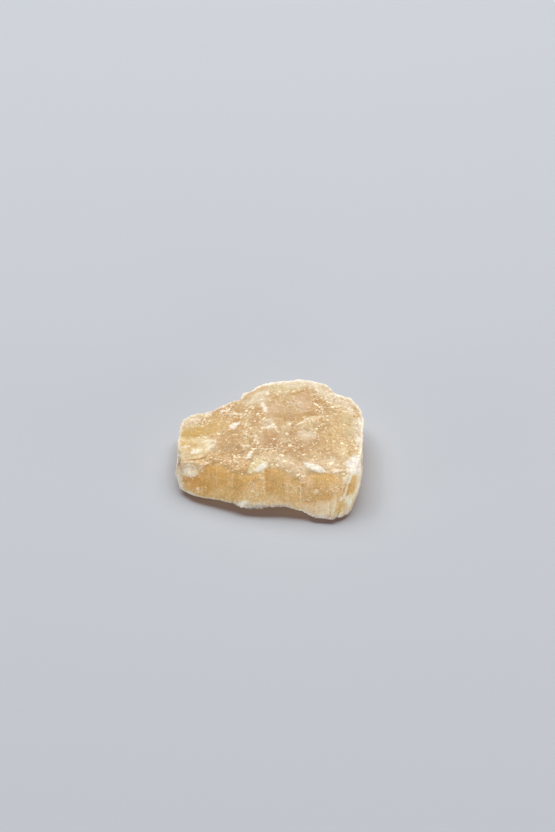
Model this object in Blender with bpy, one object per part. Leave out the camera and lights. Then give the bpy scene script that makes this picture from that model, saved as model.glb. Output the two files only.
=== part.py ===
"""Raw calcite piece: one lump of massive honey calcite, broken off a larger mass.

The lump is a thick slab.  Its broken top is a patchwork of fracture facets, its
front is a long cleavage face that leans back, its right end is a stack of
cleavage slabs, and it rests on the flattest part of its broken underside.

Frame: metres, +Z up, origin on the resting plane under the middle of the
lump's bounding box.  +X runs along the length, -Y is the smooth front face.
The survey tables below are in millimetres.
"""

import math

import bmesh
import bpy
import numpy as np
from mathutils import Vector
from mathutils.geometry import delaunay_2d_cdt

MM = 0.001

# ---------------------------------------------------------------- dimensions
VOXEL = 0.5  # mm, sampling of the surface before it is broken up
TRIANGLES = 9000  # faces that carry the finished surface
EDGE_WEAR = 2  # smoothing passes that take the knife edge off every arris
FOOT_SNAP = 0.12  # mm, anything of the underside lower than this is worn flat
GRAIN = 6.5  # mm, width of the coarse cleavage grains
GRAIN_TILT = 0.42  # mm, how far a grain's facet stands proud or shy
FOOT_INSET = 0.15  # share of the plan by which the underside draws in
FOOT_FLAT = (11.0, 8.0)  # mm, half-size of the middle of the foot, worn flat
CENTRE = (0.0, 3.0)  # mm, middle of the plan while it is laid out
ORIGIN = (0.2, 2.7)  # mm, survey point that becomes the frame's origin
SEED = 11

# Corners of the outline, in order round the lump from the front left.
# Each is (name, shoulder x y z, belly x y z, extra inset of the foot).  The
# shoulder is the arris round the broken top, the belly is the widest line.
OUTLINE = [
    # front: the long cleavage face
    ("front_left", (-26.8, -6.8, 10.8), (-27.7, -10.1, 2.5), 0.4),
    ("front_1", (-21.3, -8.4, 11.6), (-23.6, -13.2, 3.0), 0.8),
    ("front_2", (-17.4, -8.5, 12.2), (-18.6, -15.3, 3.5), 1.4),
    ("front_3", (-11.3, -11.8, 12.2), (-11.3, -17.7, 3.5), 1.8),
    ("front_4", (-6.7, -13.2, 12.4), (-8.9, -18.5, 3.0), 1.6),
    ("front_5", (-2.2, -12.6, 13.0), (-5.3, -18.8, 3.0), 1.8),
    ("front_6", (-0.4, -11.9, 14.0), (-0.8, -19.2, 3.8), 2.4),
    ("front_7", (4.3, -12.9, 13.8), (4.4, -19.5, 4.2), 2.8),
    ("front_8", (9.1, -15.0, 13.4), (9.5, -20.5, 3.2), 1.8),
    ("front_9", (13.0, -14.7, 14.0), (12.5, -21.6, 2.0), 0.6),
    ("front_10", (19.2, -14.6, 14.3), (18.8, -22.2, 1.5), 0.4),
    # right end: the cleavage slabs
    ("slab_foot", (24.3, -14.5, 14.2), (20.3, -21.6, 1.8), 0.6),
    ("slab_1", (26.3, -13.9, 13.5), (24.3, -20.5, 2.0), 0.7),
    ("slab_2", (28.0, -12.1, 12.5), (26.3, -17.9, 2.6), 0.9),
    ("right_1", (28.2, -7.4, 13.6), (28.4, -10.9, 4.0), 1.4),
    ("right_2", (29.2, 3.8, 12.5), (28.8, 2.0, 5.0), 1.2),
    # back: broken, nearly upright
    ("back_right", (28.9, 14.8, 11.2), (28.9, 15.1, 5.0), 1.1),
    ("back_1", (25.8, 19.8, 11.7), (26.3, 20.4, 5.0), 1.0),
    ("back_2", (20.4, 21.7, 12.2), (21.0, 22.8, 5.0), 1.0),
    ("back_3", (18.2, 25.2, 12.1), (18.6, 25.8, 5.0), 1.2),
    ("back_4", (12.7, 27.0, 12.5), (13.0, 27.6, 5.5), 1.6),
    ("back_5", (8.6, 27.2, 12.8), (8.5, 27.8, 5.5), 1.6),
    ("back_6", (3.2, 26.3, 12.5), (3.0, 27.2, 5.0), 1.4),
    ("back_7", (-2.5, 25.7, 12.0), (-3.0, 26.4, 5.0), 1.2),
    ("back_8", (-6.3, 22.9, 12.2), (-7.0, 23.6, 5.0), 1.0),
    ("back_bump", (-8.7, 21.6, 12.0), (-9.2, 22.3, 5.0), 1.0),
    ("back_9", (-9.4, 19.1, 11.8), (-10.0, 20.2, 5.0), 0.8),
    ("back_10", (-13.8, 17.4, 11.0), (-14.3, 18.4, 4.5), 0.8),
    ("back_11", (-18.8, 15.7, 10.0), (-19.2, 16.6, 4.5), 0.8),
    ("back_left", (-22.6, 15.5, 9.4), (-23.0, 16.0, 4.5), 0.8),
    # left end: blunt and low
    ("left_1", (-26.9, 12.8, 8.9), (-27.3, 13.1, 4.5), 0.8),
    ("left_2", (-28.2, 8.2, 9.1), (-28.6, 7.9, 4.5), 0.8),
    ("left_3", (-28.3, 2.8, 9.6), (-29.0, 2.0, 4.0), 0.8),
    ("left_4", (-28.0, -2.5, 10.2), (-28.9, -5.4, 3.5), 0.6),
]

# Corners of the fracture facets inside the broken top.
TOP = {
    "left_shelf_front": (-17.2, -4.1, 12.8),
    "left_shelf_back": (-16.3, -0.8, 13.8),
    "left_shelf_mid": (-21.4, 2.0, 12.6),
    "left_crest": (-12.9, 8.2, 13.4),
    "front_knee": (-3.5, -5.8, 14.6),
    "hollow_left": (-2.3, 1.7, 16.4),
    "mid_notch": (-0.8, 7.7, 16.0),
    "back_notch": (-0.9, 15.8, 14.8),
    "wedge_left": (6.3, 16.3, 15.4),
    "wedge_back_left": (8.5, 20.5, 15.0),
    "wedge_back_right": (12.6, 20.7, 14.8),
    "wedge_right": (12.7, 10.0, 16.9),
    "wedge_tip": (10.0, 9.6, 16.2),
    "crest_mid": (8.6, 2.5, 17.4),
    "crest_right": (15.7, 5.7, 17.6),
    "hollow_right": (3.2, 0.6, 16.3),
    "right_knee": (21.5, 3.4, 16.0),
    "hollow_front": (4.7, -5.3, 15.3),
    "bench_mid": (9.2, -8.3, 15.0),
    "bench_right": (22.7, -8.3, 15.0),
}

# Arrises between those facets.
ARRISES = [
    ("left_shelf_mid", "left_shelf_back"),
    ("left_shelf_back", "left_shelf_front"),
    ("left_crest", "left_shelf_back"),
    ("left_crest", "hollow_left"),
    ("left_crest", "mid_notch"),
    ("hollow_left", "mid_notch"),
    ("hollow_left", "front_knee"),
    ("hollow_left", "hollow_right"),
    ("hollow_right", "hollow_front"),
    ("hollow_front", "front_knee"),
    ("mid_notch", "back_notch"),
    ("back_notch", "wedge_left"),
    ("wedge_left", "wedge_tip"),
    ("wedge_tip", "wedge_right"),
    ("wedge_right", "wedge_back_right"),
    ("wedge_left", "wedge_back_left"),
    ("wedge_back_left", "wedge_back_right"),
    ("wedge_tip", "crest_mid"),
    ("crest_mid", "hollow_right"),
    ("crest_mid", "crest_right"),
    ("crest_right", "wedge_right"),
    ("crest_right", "right_knee"),
    ("right_knee", "bench_right"),
    ("crest_mid", "bench_mid"),
    ("hollow_front", "bench_mid"),
    ("bench_mid", "bench_right"),
    ("front_knee", "left_shelf_front"),
]

# The front face is four cleavage leaves.  Each starts shy at its left and ends
# proud at its right, where the next leaf begins (mm along X at mid height).
LEAVES = (-29.0, -11.5, -1.0, 9.8, 22.0)
LEAF_STEP = 0.36
LEAF_SLANT = -0.02  # mm of X per mm of height
STEP_WIDTH = 0.6  # mm over which a leaf or slab steps back

# The right end splits into slabs along lines that rake up to the right.
SLABS = ((19.0, 0.30), (21.2, 0.34), (24.6, 0.38))  # x at the foot, x per z
SLAB_STEP = 0.4


# ------------------------------------------------------------------- helpers
def hashed(ix, iy, iz, seed):
    """Three numbers in 0..1 for each lattice cell, always the same ones."""
    h = (ix * 73856093) ^ (iy * 19349663) ^ (iz * 83492791) ^ (seed * 2654435761)
    out = []
    for k in range(3):
        v = (h + k * 0x9E3779B9) & 0xFFFFFFFF
        v = ((v ^ (v >> 16)) * 0x45D9F3B) & 0xFFFFFFFF
        v = ((v ^ (v >> 16)) * 0x45D9F3B) & 0xFFFFFFFF
        v = v ^ (v >> 16)
        out.append(v / 4294967295.0)
    return np.stack(out, -1)


def grain_relief(p, size, seed):
    """Height of a faceted surface: each grain is a plane with its own tilt."""
    q = p / size
    base = np.floor(q).astype(np.int64)
    near = np.full(len(p), 1e9)
    value = np.zeros(len(p))
    for dx in (-1, 0, 1):
        for dy in (-1, 0, 1):
            for dz in (-1, 0, 1):
                cell = base + (dx, dy, dz)
                where = hashed(cell[:, 0], cell[:, 1], cell[:, 2], seed)
                tilt = hashed(cell[:, 0], cell[:, 1], cell[:, 2], seed + 57) * 2 - 1
                off = q - (cell + 0.15 + 0.7 * where)
                d = (off**2).sum(1)
                plane = (off * tilt).sum(1) + 0.5 * tilt[:, 0]
                closer = d < near
                near[closer] = d[closer]
                value[closer] = plane[closer]
    return np.clip(value, -1, 1)


def ramp(x, a, b):
    t = np.clip((x - a) / (b - a), 0, 1)
    return t * t * (3 - 2 * t)


def vertex_normals(points, faces):
    n = np.cross(
        points[faces[:, 1]] - points[faces[:, 0]],
        points[faces[:, 2]] - points[faces[:, 0]],
    )
    out = np.zeros_like(points)
    for k in range(3):
        np.add.at(out, faces[:, k], n)
    return out / np.maximum(np.linalg.norm(out, axis=1), 1e-12)[:, None]


# ------------------------------------------------------------ the rough block
def rough_block():
    """The lump as big flat facets: foot, belly and shoulder loops bridged,
    then closed by the facets of the top and by the underside."""
    bm = bmesh.new()
    foot, belly, shoulder = [], [], []
    for _, top, mid, inset in OUTLINE:
        out = Vector((mid[0] - CENTRE[0], mid[1] - CENTRE[1]))
        pull = out * (1 - FOOT_INSET) - out.normalized() * inset
        foot.append(bm.verts.new((CENTRE[0] + pull.x, CENTRE[1] + pull.y, 0.0)))
        belly.append(bm.verts.new(mid))
        shoulder.append(bm.verts.new(top))
    loops = []
    for ring in (foot, belly, shoulder):
        n = len(ring)
        loops.append([bm.edges.new((ring[i], ring[(i + 1) % n])) for i in range(n)])
    bmesh.ops.bridge_loops(bm, edges=loops[0] + loops[1])
    bmesh.ops.bridge_loops(bm, edges=loops[1] + loops[2])
    bm.faces.new(foot)

    names = list(TOP)
    flat = [Vector(v.co[:2]) for v in shoulder] + [Vector(TOP[n][:2]) for n in names]
    n = len(shoulder)
    edges = [(i, (i + 1) % n) for i in range(n)]
    edges += [(n + names.index(a), n + names.index(b)) for a, b in ARRISES]
    points, _, faces, source, _, _ = delaunay_2d_cdt(flat, edges, [], 1, 1e-6)
    inner = {n + k: bm.verts.new(TOP[name]) for k, name in enumerate(names)}
    for face in faces:
        corners = [source[i][0] for i in face]
        bm.faces.new([shoulder[c] if c < n else inner[c] for c in corners])
    bmesh.ops.recalc_face_normals(bm, faces=bm.faces)
    bmesh.ops.triangulate(bm, faces=bm.faces)
    mesh = bpy.data.meshes.new("rough_block")
    bm.to_mesh(mesh)
    bm.free()
    return mesh


def evaluated(mesh, *modifiers):
    """The mesh after these (type, settings) modifiers, as points and triangles."""
    thing = bpy.data.objects.new("working", mesh)
    bpy.context.scene.collection.objects.link(thing)
    for kind, settings in modifiers:
        modifier = thing.modifiers.new(kind.title(), kind)
        for key, value in settings.items():
            setattr(modifier, key, value)
    graph = bpy.context.evaluated_depsgraph_get()
    made = thing.evaluated_get(graph).to_mesh()
    made.calc_loop_triangles()
    points = np.empty(len(made.vertices) * 3)
    made.vertices.foreach_get("co", points)
    faces = np.empty(len(made.loop_triangles) * 3, np.int32)
    made.loop_triangles.foreach_get("vertices", faces)
    bpy.data.objects.remove(thing)
    return points.reshape(-1, 3), faces.reshape(-1, 3)


# ------------------------------------------------------------- the broken skin
def front_leaves(p, n):
    """Steps between the cleavage leaves of the front face."""
    on_front = ramp(-n[:, 1], 0.35, 0.7) * ramp(p[:, 2], 1.0, 3.5)
    on_front *= 1 - ramp(p[:, 0], 17.0, 19.5)
    x = p[:, 0] - LEAF_SLANT * (p[:, 2] - 8.0)
    d = np.zeros(len(p))
    for a, b in zip(LEAVES, LEAVES[1:]):
        t = np.clip((x - a) / (b - a), 0, 1)
        inside = ramp(x, a - STEP_WIDTH, a) * (1 - ramp(x, b - STEP_WIDTH, b))
        d += inside * LEAF_STEP * (2 * t**1.6 - 1)
    return d * on_front


def end_slabs(p, n):
    """The end face drops back by one step at each slab, going right."""
    on_end = ramp(n[:, 0] - 0.6 * n[:, 1], 0.25, 0.6) * ramp(-p[:, 1], 6.0, 9.0)
    on_end *= ramp(p[:, 2], 0.2, 1.5) * (1 - ramp(p[:, 2], 13.0, 15.0))
    d = np.zeros(len(p))
    for x0, rake in SLABS:
        edge = x0 + rake * p[:, 2]
        d -= ramp(p[:, 0], edge, edge + STEP_WIDTH)
    return SLAB_STEP * (d + 1.0) * on_end


def broken_skin(points, faces):
    n = vertex_normals(points, faces)
    smooth_front = ramp(-n[:, 1], 0.4, 0.75)
    d = GRAIN_TILT * grain_relief(points, GRAIN, SEED) * (1 - 0.75 * smooth_front)
    d += 0.4 * GRAIN_TILT * grain_relief(points, 0.45 * GRAIN, SEED + 5) * (
        1 - 0.8 * smooth_front
    )
    # The underside is broken too, but nothing there stands below the foot.
    under = ramp(-n[:, 2], 0.5, 0.9)
    off = (points[:, :2] - ORIGIN) / FOOT_FLAT
    worn = 1 - ramp(np.hypot(off[:, 0], off[:, 1]), 1.0, 1.6)
    d = d * (1 - under) - (0.25 + np.abs(d)) * under * (1 - worn)
    d += front_leaves(points, n) + end_slabs(points, n)
    return points + n * d[:, None]


def mesh_of(points, faces):
    mesh = bpy.data.meshes.new("calcite")
    mesh.from_pydata(points.tolist(), [], faces.tolist())
    return mesh


def calcite_mesh():
    points, faces = evaluated(
        rough_block(),
        ("REMESH", {"mode": "VOXEL", "voxel_size": VOXEL}),
        ("SMOOTH", {"factor": 0.5, "iterations": EDGE_WEAR}),
    )
    points = broken_skin(points, faces)
    points[:, 2] = np.maximum(points[:, 2], 0.0)
    ratio = TRIANGLES / len(faces)
    points, faces = evaluated(mesh_of(points, faces), ("DECIMATE", {"ratio": ratio}))
    # It rests on the lowest part of its underside, which is worn to a plane.
    points[points[:, 2] < FOOT_SNAP, 2] = 0.0
    points -= (ORIGIN[0], ORIGIN[1], 0.0)
    return mesh_of(points * MM, faces)


def calcite_material():
    material = bpy.data.materials.new("honey_calcite")
    material.use_nodes = True
    shader = material.node_tree.nodes["Principled BSDF"]
    shader.inputs["Base Color"].default_value = (0.72, 0.46, 0.22, 1.0)
    shader.inputs["Roughness"].default_value = 0.5
    shader.inputs["Metallic"].default_value = 0.0
    return material


# ----------------------------------------------------------------------- build
for thing in list(bpy.data.objects):
    bpy.data.objects.remove(thing, do_unlink=True)

stone = bpy.data.objects.new("calcite_piece", calcite_mesh())
bpy.context.scene.collection.objects.link(stone)
stone.data.materials.append(calcite_material())
bpy.context.view_layer.update()
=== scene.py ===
"""Looks of the raw calcite piece: one lump of honey calcite on a pale sweep.

The survey of the lump and the steps that break it up are the same as in the
solid's own script, and are run here at a finer grain. Lengths are millimetres
in the survey frame until the mesh is handed over in metres.
"""

import math

import bmesh
import bpy
import numpy as np
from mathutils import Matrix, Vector
from mathutils.kdtree import KDTree
from mathutils.geometry import delaunay_2d_cdt


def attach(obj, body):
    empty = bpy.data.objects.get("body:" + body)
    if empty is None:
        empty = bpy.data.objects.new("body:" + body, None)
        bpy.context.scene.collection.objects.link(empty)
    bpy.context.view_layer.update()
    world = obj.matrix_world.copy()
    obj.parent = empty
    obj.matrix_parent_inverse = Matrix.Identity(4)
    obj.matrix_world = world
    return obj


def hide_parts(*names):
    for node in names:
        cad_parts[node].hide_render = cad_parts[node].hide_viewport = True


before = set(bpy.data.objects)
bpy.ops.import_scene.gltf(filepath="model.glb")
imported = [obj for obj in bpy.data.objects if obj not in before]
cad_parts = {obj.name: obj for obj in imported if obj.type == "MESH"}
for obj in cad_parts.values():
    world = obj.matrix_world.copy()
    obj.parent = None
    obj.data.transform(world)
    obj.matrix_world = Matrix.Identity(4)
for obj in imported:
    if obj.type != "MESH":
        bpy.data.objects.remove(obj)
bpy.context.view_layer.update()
SCENE = bpy.context.scene
SCENE.view_settings.view_transform = "Standard"
SCENE.view_settings.look = "None"

MM = 0.001

# ------------------------------------------------------------------ the camera
ELEVATION = math.radians(45.0)
DISTANCE = 480.0  # mm
FOCAL_PX = 1488.0  # in pixels of the 555 x 832 picture
AIM = Vector((2.4, 23.3, 0.0))  # survey frame
LOOK = Vector((0.0, math.cos(ELEVATION), -math.sin(ELEVATION)))
RIGHT = Vector((1.0, 0.0, 0.0))
UP = Vector((0.0, math.sin(ELEVATION), math.cos(ELEVATION)))
EYE = AIM - LOOK * DISTANCE

# ------------------------------------------------- the lump, as it was surveyed
GRAIN = 6.5  # mm, width of the coarse cleavage grains
GRAIN_TILT = 0.42  # mm, how far a grain's facet stands proud or shy
FOOT_INSET = 0.15  # share of the plan by which the underside draws in
FOOT_FLAT = (11.0, 8.0)  # mm, half-size of the middle of the foot, worn flat
CENTRE = (0.0, 3.0)  # mm, middle of the plan while it is laid out
ORIGIN = (0.2, 2.7)  # mm, survey point that becomes the frame's origin
SEED = 11

# Corners of the outline, in order round the lump from the front left.
# Each is (name, shoulder x y z, belly x y z, extra inset of the foot).  The
# shoulder is the arris round the broken top, the belly is the widest line.
OUTLINE = [
    # front: the long cleavage face
    ("front_left", (-26.8, -6.8, 10.8), (-27.7, -10.1, 2.5), 0.4),
    ("front_1", (-21.3, -8.4, 11.6), (-23.6, -13.2, 3.0), 0.8),
    ("front_2", (-17.4, -8.5, 12.2), (-18.6, -15.3, 3.5), 1.4),
    ("front_3", (-11.3, -11.8, 12.2), (-11.3, -17.7, 3.5), 1.8),
    ("front_4", (-6.7, -13.2, 12.4), (-8.9, -18.5, 3.0), 1.6),
    ("front_5", (-2.2, -12.6, 13.0), (-5.3, -18.8, 3.0), 1.8),
    ("front_6", (-0.4, -11.9, 14.0), (-0.8, -19.2, 3.8), 2.4),
    ("front_7", (4.3, -12.9, 13.8), (4.4, -19.5, 4.2), 2.8),
    ("front_8", (9.1, -15.0, 13.4), (9.5, -20.5, 3.2), 1.8),
    ("front_9", (13.0, -14.7, 14.0), (12.5, -21.6, 2.0), 0.6),
    ("front_10", (19.2, -14.6, 14.3), (18.8, -22.2, 1.5), 0.4),
    # right end: the cleavage slabs
    ("slab_foot", (24.3, -14.5, 14.2), (20.3, -21.6, 1.8), 0.6),
    ("slab_1", (26.3, -13.9, 13.5), (24.3, -20.5, 2.0), 0.7),
    ("slab_2", (28.0, -12.1, 12.5), (26.3, -17.9, 2.6), 0.9),
    ("right_1", (28.2, -7.4, 13.6), (28.4, -10.9, 4.0), 1.4),
    ("right_2", (29.2, 3.8, 12.5), (28.8, 2.0, 5.0), 1.2),
    # back: broken, nearly upright
    ("back_right", (28.9, 14.8, 11.2), (28.9, 15.1, 5.0), 1.1),
    ("back_1", (25.8, 19.8, 11.7), (26.3, 20.4, 5.0), 1.0),
    ("back_2", (20.4, 21.7, 12.2), (21.0, 22.8, 5.0), 1.0),
    ("back_3", (18.2, 25.2, 12.1), (18.6, 25.8, 5.0), 1.2),
    ("back_4", (12.7, 27.0, 12.5), (13.0, 27.6, 5.5), 1.6),
    ("back_5", (8.6, 27.2, 12.8), (8.5, 27.8, 5.5), 1.6),
    ("back_6", (3.2, 26.3, 12.5), (3.0, 27.2, 5.0), 1.4),
    ("back_7", (-2.5, 25.7, 12.0), (-3.0, 26.4, 5.0), 1.2),
    ("back_8", (-6.3, 22.9, 12.2), (-7.0, 23.6, 5.0), 1.0),
    ("back_bump", (-8.7, 21.6, 12.0), (-9.2, 22.3, 5.0), 1.0),
    ("back_9", (-9.4, 19.1, 11.8), (-10.0, 20.2, 5.0), 0.8),
    ("back_10", (-13.8, 17.4, 11.0), (-14.3, 18.4, 4.5), 0.8),
    ("back_11", (-18.8, 15.7, 10.0), (-19.2, 16.6, 4.5), 0.8),
    ("back_left", (-22.6, 15.5, 9.4), (-23.0, 16.0, 4.5), 0.8),
    # left end: blunt and low
    ("left_1", (-26.9, 12.8, 8.9), (-27.3, 13.1, 4.5), 0.8),
    ("left_2", (-28.2, 8.2, 9.1), (-28.6, 7.9, 4.5), 0.8),
    ("left_3", (-28.3, 2.8, 9.6), (-29.0, 2.0, 4.0), 0.8),
    ("left_4", (-28.0, -2.5, 10.2), (-28.9, -5.4, 3.5), 0.6),
]

# Corners of the fracture facets inside the broken top.
TOP = {
    "left_shelf_front": (-17.2, -4.1, 12.8),
    "left_shelf_back": (-16.3, -0.8, 13.8),
    "left_shelf_mid": (-21.4, 2.0, 12.6),
    "left_crest": (-12.9, 8.2, 13.4),
    "front_knee": (-3.5, -5.8, 14.6),
    "hollow_left": (-2.3, 1.7, 16.4),
    "mid_notch": (-0.8, 7.7, 16.0),
    "back_notch": (-0.9, 15.8, 14.8),
    "wedge_left": (6.3, 16.3, 15.4),
    "wedge_back_left": (8.5, 20.5, 15.0),
    "wedge_back_right": (12.6, 20.7, 14.8),
    "wedge_right": (12.7, 10.0, 16.9),
    "wedge_tip": (10.0, 9.6, 16.2),
    "crest_mid": (8.6, 2.5, 17.4),
    "crest_right": (15.7, 5.7, 17.6),
    "hollow_right": (3.2, 0.6, 16.3),
    "right_knee": (21.5, 3.4, 16.0),
    "hollow_front": (4.7, -5.3, 15.3),
    "bench_mid": (9.2, -8.3, 15.0),
    "bench_right": (22.7, -8.3, 15.0),
}

# Arrises between those facets.
ARRISES = [
    ("left_shelf_mid", "left_shelf_back"),
    ("left_shelf_back", "left_shelf_front"),
    ("left_crest", "left_shelf_back"),
    ("left_crest", "hollow_left"),
    ("left_crest", "mid_notch"),
    ("hollow_left", "mid_notch"),
    ("hollow_left", "front_knee"),
    ("hollow_left", "hollow_right"),
    ("hollow_right", "hollow_front"),
    ("hollow_front", "front_knee"),
    ("mid_notch", "back_notch"),
    ("back_notch", "wedge_left"),
    ("wedge_left", "wedge_tip"),
    ("wedge_tip", "wedge_right"),
    ("wedge_right", "wedge_back_right"),
    ("wedge_left", "wedge_back_left"),
    ("wedge_back_left", "wedge_back_right"),
    ("wedge_tip", "crest_mid"),
    ("crest_mid", "hollow_right"),
    ("crest_mid", "crest_right"),
    ("crest_right", "wedge_right"),
    ("crest_right", "right_knee"),
    ("right_knee", "bench_right"),
    ("crest_mid", "bench_mid"),
    ("hollow_front", "bench_mid"),
    ("bench_mid", "bench_right"),
    ("front_knee", "left_shelf_front"),
]

# The front face is four cleavage leaves.  Each starts shy at its left and ends
# proud at its right, where the next leaf begins (mm along X at mid height).
LEAVES = (-29.0, -11.5, -1.0, 9.8, 22.0)
LEAF_STEP = 0.36
LEAF_SLANT = -0.02  # mm of X per mm of height
STEP_WIDTH = 0.6  # mm over which a leaf or slab steps back

# The right end splits into slabs along lines that rake up to the right.
SLABS = ((19.0, 0.30), (21.2, 0.34), (24.6, 0.38))  # x at the foot, x per z
SLAB_STEP = 0.4


# ------------------------------------------------------------------- helpers
def hashed(ix, iy, iz, seed):
    """Three numbers in 0..1 for each lattice cell, always the same ones."""
    h = (ix * 73856093) ^ (iy * 19349663) ^ (iz * 83492791) ^ (seed * 2654435761)
    out = []
    for k in range(3):
        v = (h + k * 0x9E3779B9) & 0xFFFFFFFF
        v = ((v ^ (v >> 16)) * 0x45D9F3B) & 0xFFFFFFFF
        v = ((v ^ (v >> 16)) * 0x45D9F3B) & 0xFFFFFFFF
        v = v ^ (v >> 16)
        out.append(v / 4294967295.0)
    return np.stack(out, -1)


def grain_relief(p, size, seed):
    """Height of a faceted surface: each grain is a plane with its own tilt."""
    q = p / size
    base = np.floor(q).astype(np.int64)
    near = np.full(len(p), 1e9)
    value = np.zeros(len(p))
    for dx in (-1, 0, 1):
        for dy in (-1, 0, 1):
            for dz in (-1, 0, 1):
                cell = base + (dx, dy, dz)
                where = hashed(cell[:, 0], cell[:, 1], cell[:, 2], seed)
                tilt = hashed(cell[:, 0], cell[:, 1], cell[:, 2], seed + 57) * 2 - 1
                off = q - (cell + 0.15 + 0.7 * where)
                d = (off**2).sum(1)
                plane = (off * tilt).sum(1) + 0.5 * tilt[:, 0]
                closer = d < near
                near[closer] = d[closer]
                value[closer] = plane[closer]
    return np.clip(value, -1, 1)


def ramp(x, a, b):
    t = np.clip((x - a) / (b - a), 0, 1)
    return t * t * (3 - 2 * t)


def vertex_normals(points, faces):
    n = np.cross(
        points[faces[:, 1]] - points[faces[:, 0]],
        points[faces[:, 2]] - points[faces[:, 0]],
    )
    out = np.zeros_like(points)
    for k in range(3):
        np.add.at(out, faces[:, k], n)
    return out / np.maximum(np.linalg.norm(out, axis=1), 1e-12)[:, None]


# ------------------------------------------------------------ the rough block
def rough_block():
    """The lump as big flat facets: foot, belly and shoulder loops bridged,
    then closed by the facets of the top and by the underside."""
    bm = bmesh.new()
    foot, belly, shoulder = [], [], []
    for _, top, mid, inset in OUTLINE:
        out = Vector((mid[0] - CENTRE[0], mid[1] - CENTRE[1]))
        pull = out * (1 - FOOT_INSET) - out.normalized() * inset
        foot.append(bm.verts.new((CENTRE[0] + pull.x, CENTRE[1] + pull.y, 0.0)))
        belly.append(bm.verts.new(mid))
        shoulder.append(bm.verts.new(top))
    loops = []
    for ring in (foot, belly, shoulder):
        n = len(ring)
        loops.append([bm.edges.new((ring[i], ring[(i + 1) % n])) for i in range(n)])
    bmesh.ops.bridge_loops(bm, edges=loops[0] + loops[1])
    bmesh.ops.bridge_loops(bm, edges=loops[1] + loops[2])
    bm.faces.new(foot)

    names = list(TOP)
    flat = [Vector(v.co[:2]) for v in shoulder] + [Vector(TOP[n][:2]) for n in names]
    n = len(shoulder)
    edges = [(i, (i + 1) % n) for i in range(n)]
    edges += [(n + names.index(a), n + names.index(b)) for a, b in ARRISES]
    points, _, faces, source, _, _ = delaunay_2d_cdt(flat, edges, [], 1, 1e-6)
    inner = {n + k: bm.verts.new(TOP[name]) for k, name in enumerate(names)}
    for face in faces:
        corners = [source[i][0] for i in face]
        bm.faces.new([shoulder[c] if c < n else inner[c] for c in corners])
    bmesh.ops.recalc_face_normals(bm, faces=bm.faces)
    bmesh.ops.triangulate(bm, faces=bm.faces)
    mesh = bpy.data.meshes.new("rough_block")
    bm.to_mesh(mesh)
    bm.free()
    return mesh


def evaluated(mesh, *modifiers):
    """The mesh after these (type, settings) modifiers, as points and triangles."""
    thing = bpy.data.objects.new("working", mesh)
    bpy.context.scene.collection.objects.link(thing)
    for kind, settings in modifiers:
        modifier = thing.modifiers.new(kind.title(), kind)
        for key, value in settings.items():
            setattr(modifier, key, value)
    graph = bpy.context.evaluated_depsgraph_get()
    made = thing.evaluated_get(graph).to_mesh()
    made.calc_loop_triangles()
    points = np.empty(len(made.vertices) * 3)
    made.vertices.foreach_get("co", points)
    faces = np.empty(len(made.loop_triangles) * 3, np.int32)
    made.loop_triangles.foreach_get("vertices", faces)
    bpy.data.objects.remove(thing)
    return points.reshape(-1, 3), faces.reshape(-1, 3)


# ------------------------------------------------------------- the broken skin
def front_leaves(p, n):
    """Steps between the cleavage leaves of the front face."""
    on_front = ramp(-n[:, 1], 0.35, 0.7) * ramp(p[:, 2], 1.0, 3.5)
    on_front *= 1 - ramp(p[:, 0], 17.0, 19.5)
    x = p[:, 0] - LEAF_SLANT * (p[:, 2] - 8.0)
    d = np.zeros(len(p))
    for a, b in zip(LEAVES, LEAVES[1:]):
        t = np.clip((x - a) / (b - a), 0, 1)
        inside = ramp(x, a - STEP_WIDTH, a) * (1 - ramp(x, b - STEP_WIDTH, b))
        d += inside * LEAF_STEP * (2 * t**1.6 - 1)
    return d * on_front


def end_slabs(p, n):
    """The end face drops back by one step at each slab, going right."""
    on_end = ramp(n[:, 0] - 0.6 * n[:, 1], 0.25, 0.6) * ramp(-p[:, 1], 6.0, 9.0)
    on_end *= ramp(p[:, 2], 0.2, 1.5) * (1 - ramp(p[:, 2], 13.0, 15.0))
    d = np.zeros(len(p))
    for x0, rake in SLABS:
        edge = x0 + rake * p[:, 2]
        d -= ramp(p[:, 0], edge, edge + STEP_WIDTH)
    return SLAB_STEP * (d + 1.0) * on_end


def broken_skin(points, faces):
    n = vertex_normals(points, faces)
    smooth_front = ramp(-n[:, 1], 0.4, 0.75)
    d = GRAIN_TILT * grain_relief(points, GRAIN, SEED) * (1 - 0.75 * smooth_front)
    d += 0.4 * GRAIN_TILT * grain_relief(points, 0.45 * GRAIN, SEED + 5) * (
        1 - 0.8 * smooth_front
    )
    # The underside is broken too, but nothing there stands below the foot.
    under = ramp(-n[:, 2], 0.5, 0.9)
    off = (points[:, :2] - ORIGIN) / FOOT_FLAT
    worn = 1 - ramp(np.hypot(off[:, 0], off[:, 1]), 1.0, 1.6)
    d = d * (1 - under) - (0.25 + np.abs(d)) * under * (1 - worn)
    d += front_leaves(points, n) + end_slabs(points, n)
    return points + n * d[:, None]


def mesh_of(points, faces):
    mesh = bpy.data.meshes.new("calcite")
    mesh.from_pydata(points.tolist(), [], faces.tolist())
    return mesh


# ---------------------------------------------------------------- fine surface
FINE_VOXEL = 0.24  # sampling of the visible surface, mm
ROUNDING = 5  # smoothing passes, which round every arris a little
MOST_TRIANGLES = 190000


def to_row(p):
    return Vector(((p[0] - ORIGIN[0]) * MM, (p[1] - ORIGIN[1]) * MM, p[2] * MM))


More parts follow.
